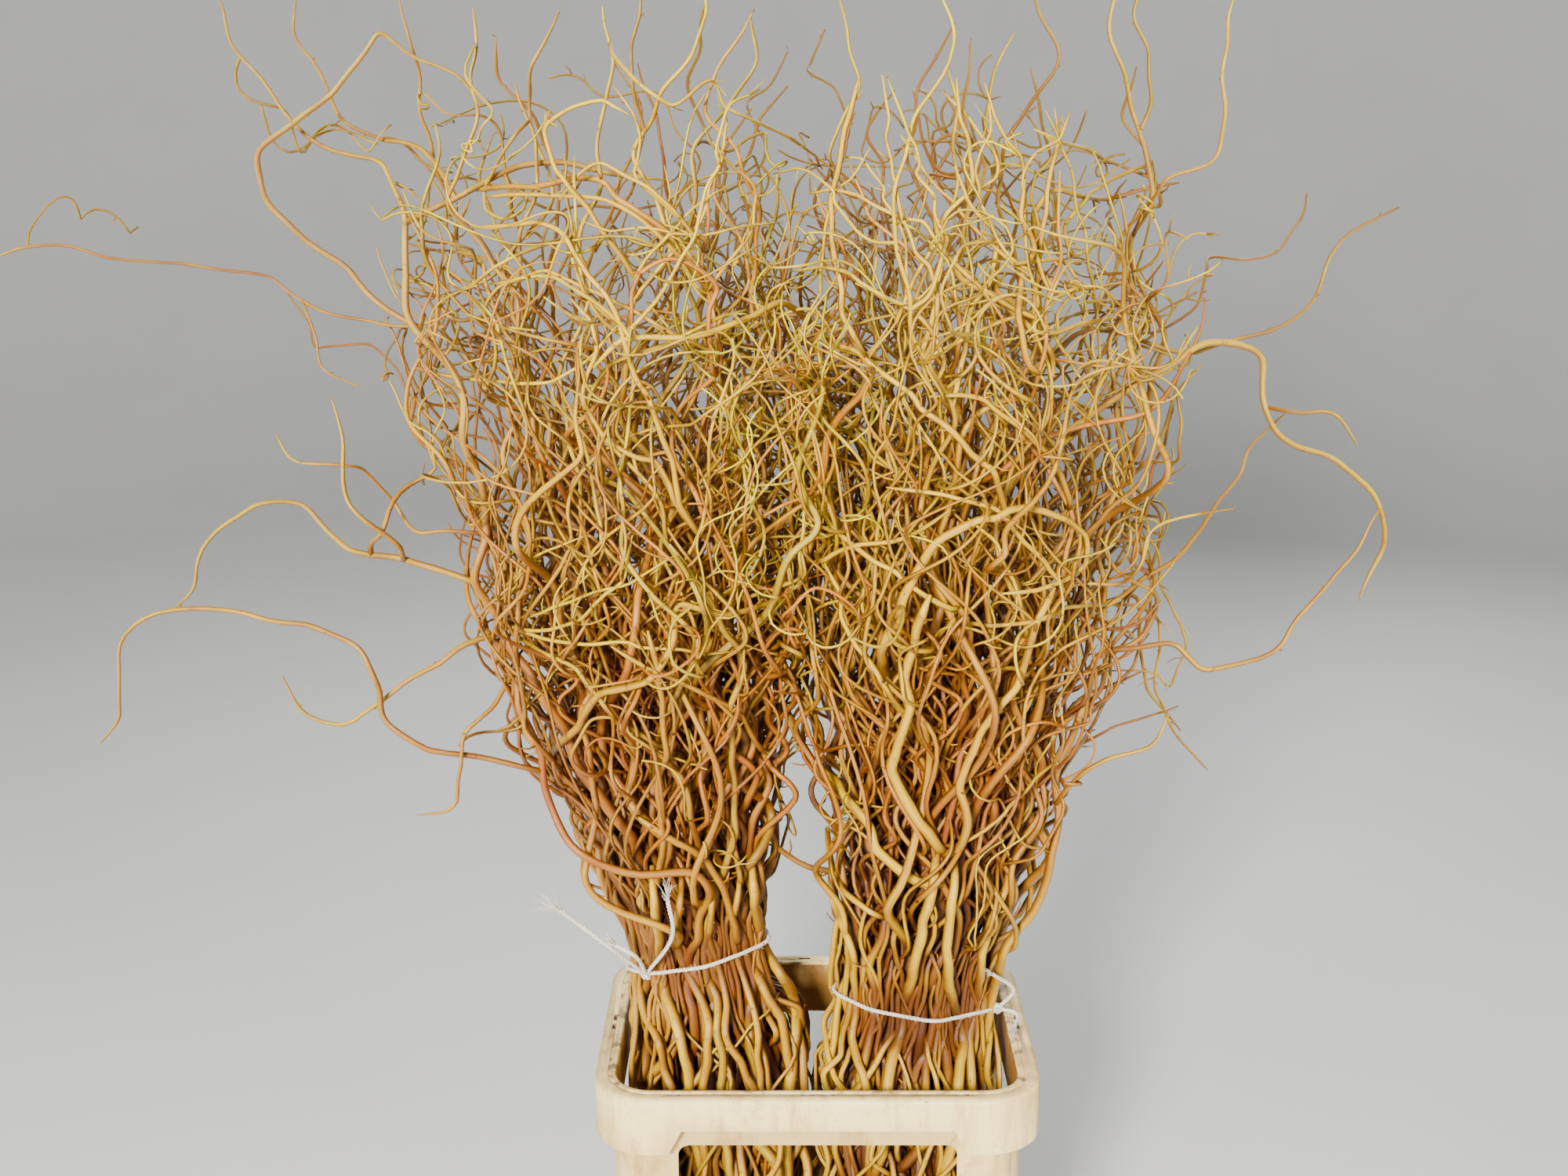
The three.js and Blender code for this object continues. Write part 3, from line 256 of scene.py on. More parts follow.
def bark_material(slot):
    """Smooth willow bark: it pales to the tips, with lengthwise streaks, mottling and dark buds."""
    thick, shade, thin, tip = BARKS[slot]
    n = Nodes(slot)
    age, tone, shaded = map(n.attribute, ("age", "tone", "shade"))
    grain = n.attribute("grain", "Vector")
    patches = n.noise(n.place, 26.0, 4.0)
    streaks = n.noise(n.stretched(grain, 3.0, 3.0, 0.35), 4.0, 4.0, 0.65)
    fine = n.noise(n.stretched(grain, 6.0, 6.0, 3.0), 9.0, 3.0)
    scars = n.noise(n.stretched(grain, 0.12, 0.12, 1.5), 5.0, 2.0, 0.5)
    # the bright value is a branch's own brighter bark, and below the crown also painted light on the outer
    # runs
    bright_and_painted_light = n.math("MULTIPLY", n.attribute("bright"), n.remap(streaks, 0.3, 0.6, 0.35, 0.85))
    wood = n.coats(shade, (thick, streaks, 0.38, 0.66, 1.0), (shade, tone, 0.5, 1.0, 0.8))
    twig = n.coat(thin, PINK_TWIG, tone, 0.0, 0.38, 0.75, 0.0)
    color = n.coats(
        wood,
        (twig, age, 0.2, 0.75, 1.0),
        (tip, age, 0.78, 1.0, 1.0),
        (shade, patches, 0.46, 0.68, 0.55),
        # painted shade inside the bunch, and a deeper band above the ties
        (DEEP_RED_AND_PAINTED_SHADE, n.attribute("deep"), 0.0, 1.0, 0.8),
        (BRIGHT_WOOD_AND_PAINTED_LIGHT, bright_and_painted_light),
        # painted shade on the sides that face away from the light, then a darker painted shade on runs in the
        # gaps
        (SHADED_BARK, shaded, 0.0, 1.0, 0.82),
        (PAINTED_GAP_SHADE_COLOR, shaded, 1.0, 2.0, 0.8),
        (BUD_COLOR, fine, 0.58, 0.74, 0.6),
        (BUD_COLOR, scars, 0.66, 0.70, 0.5),
        (BUD_COLOR, n.attribute("bud")),
        (CUT_WOOD, n.attribute("cut")),
    )
    height = n.math("ADD", streaks, n.math("MULTIPLY", fine, 0.6))
    rough = n.remap(streaks, 0.3, 0.7, 0.46, 0.30)
    return n.done(height, 0.0006, 0.5, Base_Color=color, Roughness=rough, Specular_IOR_Level=0.42)


def plastic_material():
    """Off-white moulded plastic, scuffed on the outside and stained brown inside."""
    n = Nodes("plastic")
    x, y, z = n.add("SeparateXYZ", n.place).outputs

    def noise(up, *settings):
        return n.noise(n.stretched(n.place, 1.0, 1.0, up), *settings)

    fine = noise(1.0, 60.0, 5.0, 0.7)
    scratches = noise(3.0, 30.0, 4.0, 0.7)
    worn = n.math("MULTIPLY", n.attribute("edge"), n.remap(noise(1.0, 75.0, 3.0), 0.5, 0.62))
    grime = n.remap(noise(0.5, 24.0, 5.0, 0.7), 0.3, 0.6, 0.4, 1.0)
    splashed = n.math("MULTIPLY", n.remap(z, 0.0, 0.16, 0.55, 0.0), n.remap(fine, 0.35, 0.6))
    # painted shade on the set-back wall under the rim's skirt, fading down the wall
    painted_recess_shade = n.math("MULTIPLY", n.remap(z, 0.34, 0.415, 0.0, 0.5), n.remap(z, 0.437, 0.441, 1.0, 0.0))
    squares = []
    for place, middle in zip((x, y), CORNER_MIDDLE):
        off = n.math("SUBTRACT", n.math("ABSOLUTE", place), middle)
        squares.append(n.math("POWER", n.math("MAXIMUM", off, 0.0), 2.0))
    out = n.math("SQRT", n.math("ADD", *squares))
    painted_recess_shade = n.math("MULTIPLY", painted_recess_shade, n.remap(out, 0.041, 0.045, 1.0, 0.0))
    color = n.coats(
        CLEAN_PLASTIC,
        (DUSTY_PLASTIC, noise(1.0, 5.0, 5.0, 0.6), 0.42, 0.7, 0.55),
        (DUSTY_PLASTIC, fine, 0.5, 0.72, 0.6),
        (STAIN, scratches, 0.62, 0.76, 0.3),
        (STAIN, noise(0.12, 42.0, 4.0, 0.65), 0.5, 0.68, 0.4),
        (STAIN, noise(0.5, 17.0, 6.0, 0.7), 0.55, 0.68, 0.45),
        (DARK_STAIN, worn, 0.0, 1.0, 0.75),
        (DARK_STAIN, noise(1.0, 240.0, 2.0, 0.5), 0.69, 0.76, 0.7),
        (STAIN, n.math("MULTIPLY", n.attribute("inside"), grime)),
        (STAIN, splashed),
        # the faces inside the rim's slots are darkened all over
        (DARK_STAIN, n.attribute("groove")),
        # painted shade under the skirt, in the stain colour
        (STAIN, painted_recess_shade),
    )
    height = n.math("ADD", n.math("MULTIPLY", scratches, 0.6), n.math("MULTIPLY", fine, 0.4))
    return n.done(height, 0.0008, 0.35, Base_Color=color, Roughness=n.remap(fine, 0.3, 0.7, 0.38, 0.6))


def string_material():
    """Undyed twisted string with loose fibres."""
    n = Nodes("string")
    fibre = n.noise(n.stretched(n.attribute("grain", "Vector"), 5.0, 5.0, 1.2), 8.0, 4.0, 0.7)
    dirt = n.noise(n.place, 30.0, 3.0)
    color = n.coats(
        rgba(206, 196, 168),
        (rgba(244, 238, 222), fibre, 0.35, 0.65, 1.0),
        (rgba(168, 148, 108), dirt, 0.5, 0.72, 0.5),
    )
    return n.done(fibre, 0.0005, 0.8, Base_Color=color, Roughness=0.9, Sheen_Weight=0.3)


def floor_material():
    n = Nodes("floor")
    mottle = n.noise(n.place, 1.5, 3.0)
    color = n.coats((0.70, 0.70, 0.69, 1), ((0.74, 0.74, 0.73, 1), mottle, 0.3, 0.7, 1.0))
    return n.done(Base_Color=color, Roughness=0.8)


# ---------------------------------------------------------------- meshes

GRAIN = 20  # of the grain's coordinates to a metre


def unit(v):
    length = sqrt(v[0] * v[0] + v[1] * v[1] + v[2] * v[2])
    return v / length if length > 1e-12 else UP


def cross(a, b):
    return np.array((a[1] * b[2] - a[2] * b[1], a[2] * b[0] - a[0] * b[2], a[0] * b[1] - a[1] * b[0]))


def turned(along, angle, hint=(0.3, 0.2, 1.0)):
    """A direction across another, turned round it by an angle."""
    beside = unit(cross(along, hint))
    return beside * cos(angle) + cross(beside, along) * sin(angle)


def norms(rows):
    return np.linalg.norm(rows, axis=1)


def hump(value, middle, width):
    return np.exp(-(((value - middle) / width) ** 2))


def smoothstep(value):
    share = np.clip(value, 0.0, 1.0)
    return share * share * (3 - 2 * share)


def lengths_along(path):
    """How far along a path each of its points lies."""
    return np.concatenate(((0.0,), np.cumsum(norms(np.diff(path, axis=0)))))


def frames_along(path):
    """Two directions across a path at each of its points, carried along without twist."""
    tangents = np.gradient(path, axis=0)
    tangents /= np.maximum(norms(tangents), 1e-9)[:, None]
    across = np.array((1.0, 0.0, 0.0)) if abs(tangents[0][2]) > 0.7 else UP
    sides = np.empty((len(path), 2, 3))
    for i, along in enumerate(tangents):
        across = unit(across - along * across.dot(along))
        sides[i] = across, cross(along, across)
    return sides


def make_piece(name, mesh, material, slot, *nodes):
    """A mesh as an object that rides on the body."""
    mesh.shade_smooth()
    mesh.materials.clear()
    mesh.materials.append(material)
    piece = linked(name, mesh)
    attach(piece, BODY)
    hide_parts(*nodes)


class Skin:
    """Collects tubes and buds with their shading values, and makes one mesh of them."""

    VALUES = ("age", "tone", "deep", "bright", "shade", "bud", "cut")

    def __init__(self):
        self.points, self.quads, self.triangles, self.grain = [], [], [], []
        self.values = {key: [] for key in self.VALUES}
        self.count = 0

    def put(self, points, quads, triangles, grain, **values):
        self.points.append(points)
        self.quads.append(np.asarray(quads, np.int32).reshape(-1, 4) + self.count)
        self.triangles.append(np.asarray(triangles, np.int32).reshape(-1, 3) + self.count)
        self.grain.append(grain)
        for key, store in self.values.items():
            store.append(np.broadcast_to(np.asarray(values.get(key, 0.0), float), len(points)))
        self.count += len(points)

    def tube(self, path, radii, sides, age, tone, painted_gap_shade=0.0, cut_foot=False, **values):
        """A tube along a path. Its values are given once or for each ring."""
        path = np.asarray(path, float)
        count = len(path)
        angles = np.arange(sides) * (TURN / sides)
        circle = np.stack((np.cos(angles), np.sin(angles)), axis=1)
        ring = np.einsum("sk,ikc->isc", circle, frames_along(path))
        points = path[:, None] + ring * np.asarray(radii, float)[:, None, None]
        grain = np.empty((count, sides, 3))
        grain[:, :, :2] = circle * 0.5
        grain[:, :, 2] = lengths_along(path)[:, None] * GRAIN
        starts = np.arange(count - 1)[:, None] * sides
        low, beside = starts + np.arange(sides), starts + (np.arange(sides) + 1) % sides
        quads = np.stack((low, beside, beside + sides, low + sides), axis=2)
        fan = np.arange(1, sides - 1)
        foot = np.stack((fan * 0, fan + 1, fan), axis=1)
        head = np.stack((fan * 0, fan, fan + 1), axis=1) + (count - 1) * sides
        # painted shade: the sides that face the middle of the group or down are darkened, and a run in the
        # gaps between the outer ones is darkened on all sides and further, towards a darker painted gap shade
        sunny = path * (0.4, 1.0, 0.0) - (0.02, 0.0, 0.0)
        sunny[:, 2] = 0.35 * np.maximum(norms(sunny), 0.02)
        sunny /= norms(sunny)[:, None]
        faces_sun = np.einsum("isc,ic->is", ring, sunny)
        painted_gap_shade = np.reshape(painted_gap_shade, (-1, 1))
        values.update(age=age, tone=tone)
        values = {key: np.repeat(np.broadcast_to(value, count), sides) for key, value in values.items()}
        values["shade"] = (np.clip((0.85 - faces_sun) / 0.75 + painted_gap_shade, 0, 1) + painted_gap_shade).ravel()
        values["cut"] = (np.arange(count * sides) < sides) * float(cut_foot)
        self.put(points.reshape(-1, 3), quads, np.concatenate((foot, head)), grain.reshape(-1, 3), **values)

    def bud(self, place, along, out, length, width, tone):
        """A small pointed bud that lies against its twig."""
        side = unit(cross(along, out))
        heading = unit(along * 0.85 + out * 0.55)
        lift = unit(cross(side, heading))
        middle = place + heading * length * 0.4
        waist = [middle + way * width for way in (side, lift, -side, -lift)]
        points = np.array((place, *waist, place + heading * length))
        faces = ((0, 2, 1), (0, 3, 2), (0, 4, 3), (0, 1, 4), (5, 1, 2), (5, 2, 3), (5, 3, 4), (5, 4, 1))
        self.put(points, (), faces, points * GRAIN, age=0.6, tone=tone, bud=(0.3, 0.8, 0.8, 0.8, 0.8, 0.5))

    def make(self, name, material, slot, *nodes):
        """The collected surface as one piece."""
        stores = (self.points, self.grain, self.quads, self.triangles)
        points, grain, quads, triangles = map(np.concatenate, stores)
        mesh = bpy.data.meshes.new(name)
        mesh.vertices.add(len(points))
        mesh.vertices.foreach_set("co", points.astype(np.float32).ravel())
        mesh.loops.add(quads.size + triangles.size)
        mesh.loops.foreach_set("vertex_index", np.concatenate((quads.ravel(), triangles.ravel())))
        mesh.polygons.add(len(quads) + len(triangles))
        starts = (np.arange(len(quads)) * 4, quads.size + np.arange(len(triangles)) * 3)
        mesh.polygons.foreach_set("loop_start", np.concatenate(starts).astype(np.int32))
        mesh.update(calc_edges=True)
        mesh.validate()
        for key, store in self.values.items():
            layer = mesh.attributes.new(key, "FLOAT", "POINT")
            layer.data.foreach_set("value", np.concatenate(store).astype(np.float32))
        layer = mesh.attributes.new("grain", "FLOAT_VECTOR", "POINT")
        layer.data.foreach_set("vector", grain.astype(np.float32).ravel())
        make_piece(name, mesh, material, slot, *nodes)


# ---------------------------------------------------------------- the stems' runs, read from the frame

RING_EDGE = 0.0165  # the longest edge inside one ring of a stem's section
SAME_RING = 0.012  # ring middles nearer than this are one fork
CORNER_REACH = 1.2  # a three-sided section's corner radius over the stem's radius
SAME_CORNER = 2e-5  # corners that are nearer than this are one
FINE_STEP = 0.004


def merged_mesh(node):
    """A node's corners and edges, with corners at one place taken as one."""
    mesh = frame["nodes"][node].data
    raw = np.empty(len(mesh.vertices) * 3, np.float32)
    mesh.vertices.foreach_get("co", raw)
    raw = raw.reshape(-1, 3).astype(float)
    keys = np.round(raw / SAME_CORNER).astype(np.int64)
    _, first, same = np.unique(keys, axis=0, return_index=True, return_inverse=True)
    edges = np.empty(len(mesh.edges) * 2, np.int32)
    mesh.edges.foreach_get("vertices", edges)
    edges = np.unique(np.sort(same.ravel()[edges.reshape(-1, 2)], axis=1), axis=0)
    return raw[first], edges[edges[:, 0] != edges[:, 1]]


def group_by_links(count, links):
    """Numbers the groups that the links join."""
    parent = list(range(count))

    def find(i):
        while parent[i] != i:
            parent[i] = parent[parent[i]]
            i = parent[i]
        return i

    for a, b in links:
        parent[find(int(a))] = find(int(b))
    roots = [find(i) for i in range(count)]
    order = {root: k for k, root in enumerate(dict.fromkeys(roots))}
    return np.array([order[root] for root in roots])


def read_rings(node):
    """The middles and radii of a stem's rings, their counts of corners, and which rings follow each other."""
    corners, edges = merged_mesh(node)

    def middles_of(group):
        return np.array([corners[group == g].mean(0) for g in range(group.max() + 1)])

    lengths = np.linalg.norm(corners[edges[:, 0]] - corners[edges[:, 1]], axis=1)
    group = group_by_links(len(corners), edges[lengths < RING_EDGE])
    middles = middles_of(group)
    near = []
    for i in range(len(middles)):
        gaps = norms(middles[i + 1 :] - middles[i])
        near.extend((i, i + 1 + k) for k in np.nonzero(gaps < SAME_RING)[0])
    group = group_by_links(len(middles), near)[group]
    middles = middles_of(group)
    reach = [norms(corners[group == g] - middle).mean() for g, middle in enumerate(middles)]
    follow = {g: set() for g in range(len(middles))}
    for a, b in group[edges]:
        if a != b:
            follow[a].add(b)
            follow[b].add(a)
    return middles, np.array(reach) / CORNER_REACH, np.bincount(group), follow


def walk(at, radii, follow, seen):
    """Follows a run of rings to its end. The thickest way on is the run's own, and the others are twigs."""
    run, forks = [at], []
    seen.add(at)
    while ways := sorted((g for g in follow[at] if g not in seen), key=lambda g: -radii[g]):
        seen.update(ways)
        forks.extend((at, way) for way in ways[1:])
        at = ways[0]
        run.append(at)
    return run, forks


def read_stem(node):
    """A stem as runs of places and radii: its main run first, then its twigs, each from its fork."""
    middles, radii, sizes, follow = read_rings(node)
    seen, runs = set(), []
    waiting = [(None, int(np.argmin(middles[:, 2])))]
    while waiting:
        fork, start = waiting.pop(0)
        run, forks = walk(start, radii, follow, seen)
        waiting.extend(forks)
        whole = run if fork is None else [fork] + run
        thick = radii[whole].copy()
        for i, ring in enumerate(whole):
            if sizes[ring] != 3 and 0 < i < len(whole) - 1:
                thick[i] = (thick[i - 1] + radii[whole[i + 1]]) / 2
        if fork is not None and len(thick) > 2:
            thick[0] = thick[1] * 1.05
        if len(whole) > 2:
            runs.append((middles[whole], thick))
    return runs


def sampled(marks, at, values):
    """Values or places given at some marks, taken at others."""
    values = np.asarray(values, float)
    if values.ndim == 1:
        return np.interp(marks, at, values)
    return np.stack([np.interp(marks, at, column) for column in values.T], axis=1)


def smooth_run(places, values, step=FINE_STEP):
    """A smooth curve through the places with a value along it, finely and evenly cut."""
    places = np.asarray(places, float)
    ends = np.concatenate((2 * places[:1] - places[1:2], places, 2 * places[-1:] - places[-2:-1]))
    curve, along = [], []
    t = (np.arange(10) / 10)[:, None]
    for i in range(len(places) - 1):
        p0, p1, p2, p3 = ends[i : i + 4]
        bent = 2 * p1 + (p2 - p0) * t + (2 * p0 - 5 * p1 + 4 * p2 - p3) * t**2
        curve.append(0.5 * (bent + (3 * p1 - p0 - 3 * p2 + p3) * t**3))
        along.append(values[i] + (values[i + 1] - values[i]) * t[:, 0])
    curve = np.concatenate(curve + [places[-1:]])
    along = np.concatenate(along + [np.array([values[-1]])])
    gone = lengths_along(curve)
    marks = np.linspace(0, gone[-1], max(4, int(round(gone[-1] / step))) + 1)
    return sampled(marks, gone, curve), np.interp(marks, gone, along)


def thin_out(path, most_turn, most_step=0.024):
    """Where on a fine path rings are needed: close together in bends and far apart on straight runs."""
    steps = np.diff(path, axis=0)
    lengths = np.maximum(norms(steps), 1e-9)
    ways = steps / lengths[:, None]
    turns = np.zeros(len(lengths))
    turns[1:] = np.arccos(np.clip((ways[1:] * ways[:-1]).sum(1), -1, 1))
    rate = np.sqrt((turns / most_turn) ** 2 + (lengths / most_step) ** 2)
    gone = np.concatenate(((0.0,), np.cumsum(rate)))
    marks = np.linspace(0, gone[-1], max(3, int(ceil(gone[-1]))) + 1)
    return np.interp(marks, gone, np.arange(len(path)))


# ---------------------------------------------------------------- the two bunches

SIDES = ("left", "right")
# The bunches' middles and half-widths at some heights.
HEIGHTS = (0.005, 0.450, 0.530, 0.710, 0.880, 1.040, 1.250, 1.480)
MIDDLES = {
    "left": (-0.084, -0.093, -0.111, -0.137, -0.145, -0.166, -0.148, -0.136),
    "right": (0.084, 0.090, 0.100, 0.112, 0.114, 0.108, 0.096, 0.098),
}
HALVES = {
    "left": (0.073, 0.079, 0.073, 0.097, 0.138, 0.155, 0.153, 0.150),
    "right": (0.073, 0.082, 0.079, 0.104, 0.140, 0.150, 0.143, 0.145),
}
TIE_HEIGHT = {"left": 0.528, "right": 0.484}
TIE_TILT = {"left": (0.22, -0.10), "right": (-0.08, -0.03)}
DEPTH_SPREAD = 1.14
CROWN_HEIGHT = (1.02, 1.24)  # where a branch of the crown stops rising, at the lowest and at the highest

LEVEL_STEP = 0.012
LEVELS = LEVEL_STEP * np.arange(3, 98)
PACKED_HEIGHT = 0.95  # below it the shoots are moved clear of each other
SHOOTS_PER_STEM = 6
LATE_PER_STEM = 3
# Of a shoot's size: above which share of the shoots, and the radii.
SHOOT_SIZES = ((-1, 0.0018, 0.0026), (0.42, 0.0026, 0.0037), (0.78, 0.0037, 0.0056))
GOLDEN_ANGLE = 2.39996
MOST_SPOT = 0.97  # how far out in its bunch a shoot may have its spot
FORK_RUN = 0.06  # the height over which a shoot comes off what it grows from
SLACK = 0.0004  # between neighbours in a bunch
MOST_PUSH = 0.006  # the furthest that two are pushed apart at once
WALL_ROOM = 0.006  # between the shoots and the container's wall
WALL_TOP = 0.47  # up to here they keep inside the wall
TIE_WIDTH = 0.014  # half the height over which a tie holds its bunch at its tightest
TIE_REACH = 0.07  # how far off a tie still draws its bunch in
TIE_PLAY = 0.0003


def at_height(side, z):
    """A bunch's middle and half-width at a height, or at many."""
    return np.interp(z, HEIGHTS, MIDDLES[side]), np.interp(z, HEIGHTS, HALVES[side])


def tie_plane(side, middle, x, y):
    """The height of a tie's tilted plane at a place, where the bunch's middle is given."""
    return TIE_HEIGHT[side] + TIE_TILT[side][0] * (x - middle) + TIE_TILT[side][1] * y


def depth_at(side, z):
    return 1 + (DEPTH_SPREAD - 1) * smoothstep((z - TIE_HEIGHT[side]) / 0.22)


def off_middle(side, points):
    """How far off its bunch's middle each point lies, as a share of the bunch's half-width."""
    middle, half = at_height(side, points[:, 2])
    return np.hypot((points[:, 0] - middle) / half, points[:, 1] / (half * depth_at(side, points[:, 2])))


def swings(draw, marks, spacing, size):
    """An irregular smooth wave along some marks, swinging to one side and then the other."""
    knots = [marks[0] - spacing * draw.random()]
    while knots[-1] <= marks[-1]:
        knots.append(knots[-1] + spacing * draw.uniform(0.55, 1.5))
    sign = draw.choice((-1, 1))
    values = np.array([sign * (-1) ** k * size * draw.uniform(0.4, 1.0) for k in range(len(knots))])
    knots = np.array(knots)
    i = np.clip(np.searchsorted(knots, marks, side="right") - 1, 0, len(knots) - 2)
    share = smoothstep((marks - knots[i]) / (knots[i + 1] - knots[i]))
    return values[i] * (1 - share) + values[i + 1] * share


def wander(draw, side, spot):
    """A shoot's own way up through its bunch: its spot in the bunch, with a slow drift and quick waves."""
    z, tie = LEVELS, TIE_HEIGHT[side]
    middle, half = at_height(side, z)
    spread = smoothstep((z - tie) / 0.2)
    below = smoothstep((tie - 0.02 - z) / 0.1)
    drift = 0.12 + 0.22 * np.maximum(spread, below)
    u, v = (at + drift * swings(draw, z, draw.uniform(0.13, 0.24), 1.0) for at in spot)
    pinch = 1 - 0.6 * hump(z, tie, 0.045)
    size = (0.0100 + 0.0060 * spread) * pinch * draw.uniform(0.7, 1.3)
    half_wave = draw.uniform(0.045, 0.085)
    x = middle + half * u + size * swings(draw, z, half_wave, 1.0)
    y = half * depth_at(side, z) * v + size * swings(draw, z, half_wave, 1.0)
    return np.stack((x, y), axis=1)


def stem_at_levels(path, radii):
    """A stem's place and radius at each level that it rises through, not a number elsewhere."""
    falls = np.nonzero(np.diff(path[:, 2]) <= 0)[0]
    top = int(falls[0]) + 1 if len(falls) else len(path)
    heights = path[:top, 2]
    inside = (LEVELS >= heights[0]) & (LEVELS <= heights[-1])
    place, thick = np.full((len(LEVELS), 2), np.nan), np.zeros(len(LEVELS))
    place[inside] = sampled(LEVELS[inside], heights, path[:top, :2])
    thick[inside] = np.interp(LEVELS[inside], heights, radii[:top])
    return place, thick


def level_of(height):
    return int(np.clip(round(height / LEVEL_STEP) - 3, 0, len(LEVELS) - 1))


def plan_shoots(side, stems, draw):
    """Every shoot of a bunch: whom it grows from, its levels, its radii and its own way up."""
    shoots = []
    count = SHOOTS_PER_STEM * len(stems)
    middle, half = at_height(side, TIE_HEIGHT[side])
    homes = [place[level_of(TIE_HEIGHT[side])] for place, _ in stems]
    homes = [((at[0] - middle) / half, at[1] / half) for at in homes]
    free = dict.fromkeys(range(len(stems)), SHOOTS_PER_STEM)

    def add(stem, parent, first, last, radii, spot, ease):
        way = wander(draw, side, spot)
        ease, tone = draw.uniform(*ease), draw.random()
        shoots.append(dict(stem=stem, parent=parent, first=first, last=last, radii=radii, spot=spot,
                           way=way, ease=ease, tone=tone))

    for k in range(count):
        radius = MOST_SPOT * sqrt((k + 0.5) / count)
        angle = k * GOLDEN_ANGLE
        spot = (radius * cos(angle), radius * sin(angle))
        stem = min(free, key=lambda s: hypot(homes[s][0] - spot[0], homes[s][1] - spot[1]))
        free[stem] -= 1
        if not free[stem]:
            del free[stem]
        kind = draw.random()
        for least, low, high in SHOOT_SIZES:
            if kind > least:
                thick = draw.uniform(low, high)
        first, last = level_of(draw.uniform(0.04, 0.2)), level_of(draw.uniform(0.68, 1.02))
        heights = (LEVELS[first], 0.6, LEVELS[last])
        radii = np.interp(LEVELS, heights, (thick, thick * 0.9, max(0.0017, thick * 0.6)))
        add(stem, None, first, last, radii, spot, (0.1, 0.17))
    for k in range(LATE_PER_STEM * len(stems)):
        parent = draw.randrange(count)
        elder = shoots[parent]
        first, last = level_of(draw.uniform(0.40, 0.80)), level_of(draw.uniform(0.86, 1.14))
        angle = draw.uniform(0, TURN)
        spot = np.array(elder["spot"]) + draw.uniform(0.15, 0.4) * np.array((cos(angle), sin(angle)))
        spot = spot / max(1.0, float(np.hypot(*spot)) / MOST_SPOT)
        thick = min(elder["radii"][first] * 0.85, draw.uniform(0.0016, 0.0027))
        radii = np.interp(LEVELS, (LEVELS[first], LEVELS[last]), (thick, max(0.0014, thick * 0.7)))
        add(elder["stem"], parent, first, last, radii, spot, (0.07, 0.13))
    return shoots


def tie_outline(side, stems):
    """How far the tie lets the bunch reach in each of many directions round it."""
    angles = np.arange(36) * (TURN / 36)
    ways = np.stack((np.cos(angles), np.sin(angles)), axis=1)
    level = level_of(TIE_HEIGHT[side])
    reach = [place[level] @ ways.T + CORNER_REACH * thick[level] for place, thick in stems]
    return ways, np.max(reach, axis=0)


def settle(side, stems, ahead, shoots):
    """Moves the shoots clear of each other, of the stems and of what runs ahead of them, inside the tie."""
    fixed = stems + ahead
    count = len(fixed)
    place = np.stack([s[0] for s in fixed] + [s["way"] for s in shoots])
    thick = np.stack([s[1] for s in fixed] + [s["radii"] for s in shoots])
    alive = np.zeros(place.shape[:2], bool)
    alive[:count] = ~np.isnan(place[:count, :, 0])
    parents = [s["stem"] if s["parent"] is None else count + s["parent"] for s in shoots]

    def leave_parent(k, run):
        """Leads a shoot off its parent over a run of height."""
        base, own = place[parents[k]], place[count + k]
        share = smoothstep((LEVELS - LEVELS[shoots[k]["first"]]) / run)[:, None]
        place[count + k] = np.where(np.isnan(base), own, base * (1 - share) + own * share)

    for k, shoot in enumerate(shoots):
        alive[count + k, shoot["first"] : shoot["last"] + 1] = True
        leave_parent(k, shoot["ease"])
    ways, outline = tie_outline(side, stems)
    middle = at_height(side, TIE_HEIGHT[side])[0]
    for _ in range(5):
        shift = np.zeros_like(place)
        for level in np.nonzero(LEVELS <= PACKED_HEIGHT)[0]:
            here = np.nonzero(alive[:, level])[0]
            if len(here) <= count:
                continue
            at, r, free = place[here, level].copy(), thick[here, level], here >= count
            wanted = r[:, None] + r[None] + SLACK
            np.fill_diagonal(wanted, -1.0)
            for _ in range(4):
                gap = at[:, None] - at[None]
                far = np.sqrt((gap**2).sum(2)) + 1e-9
                short = np.clip(wanted - far, 0, MOST_PUSH) / far * np.where(free, 0.5, 1.0)
                at += np.where(free[:, None], 0.8 * (gap * short[:, :, None]).sum(1), 0)
            shift[here, level] = at - place[here, level]
        soft = shift.copy()
        soft[:, 1:-1] = 0.25 * shift[:, :-2] + 0.5 * shift[:, 1:-1] + 0.25 * shift[:, 2:]
        place[count:] += soft[count:]
        for level, z in enumerate(LEVELS):
            at, r = place[count:, level], thick[count:, level]
            if z < WALL_TOP:
                share = min(z / LEDGE, 1.0)
                for axis, (foot, wide) in enumerate(INSIDE):
                    most = foot + (wide - foot) * share - WALL_ROOM - r
                    at[:, axis] = np.clip(at[:, axis], -most, most)
            off = np.abs(z - tie_plane(side, middle, *at.T))
            near = off < TIE_REACH
            if near.any():
                loose = 0.22 * np.maximum(off - TIE_WIDTH, 0)
                for way, reach in zip(ways, outline):
                    over = np.where(near, at @ way + r - reach - loose + TIE_PLAY, 0)
                    at -= np.maximum(over, 0)[:, None] * way
            place[count:, level] = at
    for k, shoot in enumerate(shoots):
        leave_parent(k, FORK_RUN)
        levels = slice(shoot["first"], shoot["last"] + 1)
        shoot["path"] = np.column_stack((place[count + k, levels], LEVELS[levels]))
        shoot["thick"] = shoot["radii"][levels]


# ---------------------------------------------------------------- free ends and twigs

CURLING_SHARE = 0.25  # of the twigs that turn like a corkscrew, and the others swing from side to side
TWIG_STEP = 0.009
TWIG_TIP = 0.0010
PULL_IN = 3.0  # how strongly a branch is led back in, for how far it is out
PULL_DOWN = 9.0  # how strongly it is levelled out, for how far it is above the crown
BUD_LENGTHS = (0.003, 0.0055)
BUD_WIDTHS = (0.0006, 0.0010)
SPUR_LENGTHS = (0.006, 0.022)
THICKEST_SPUR = 0.0013
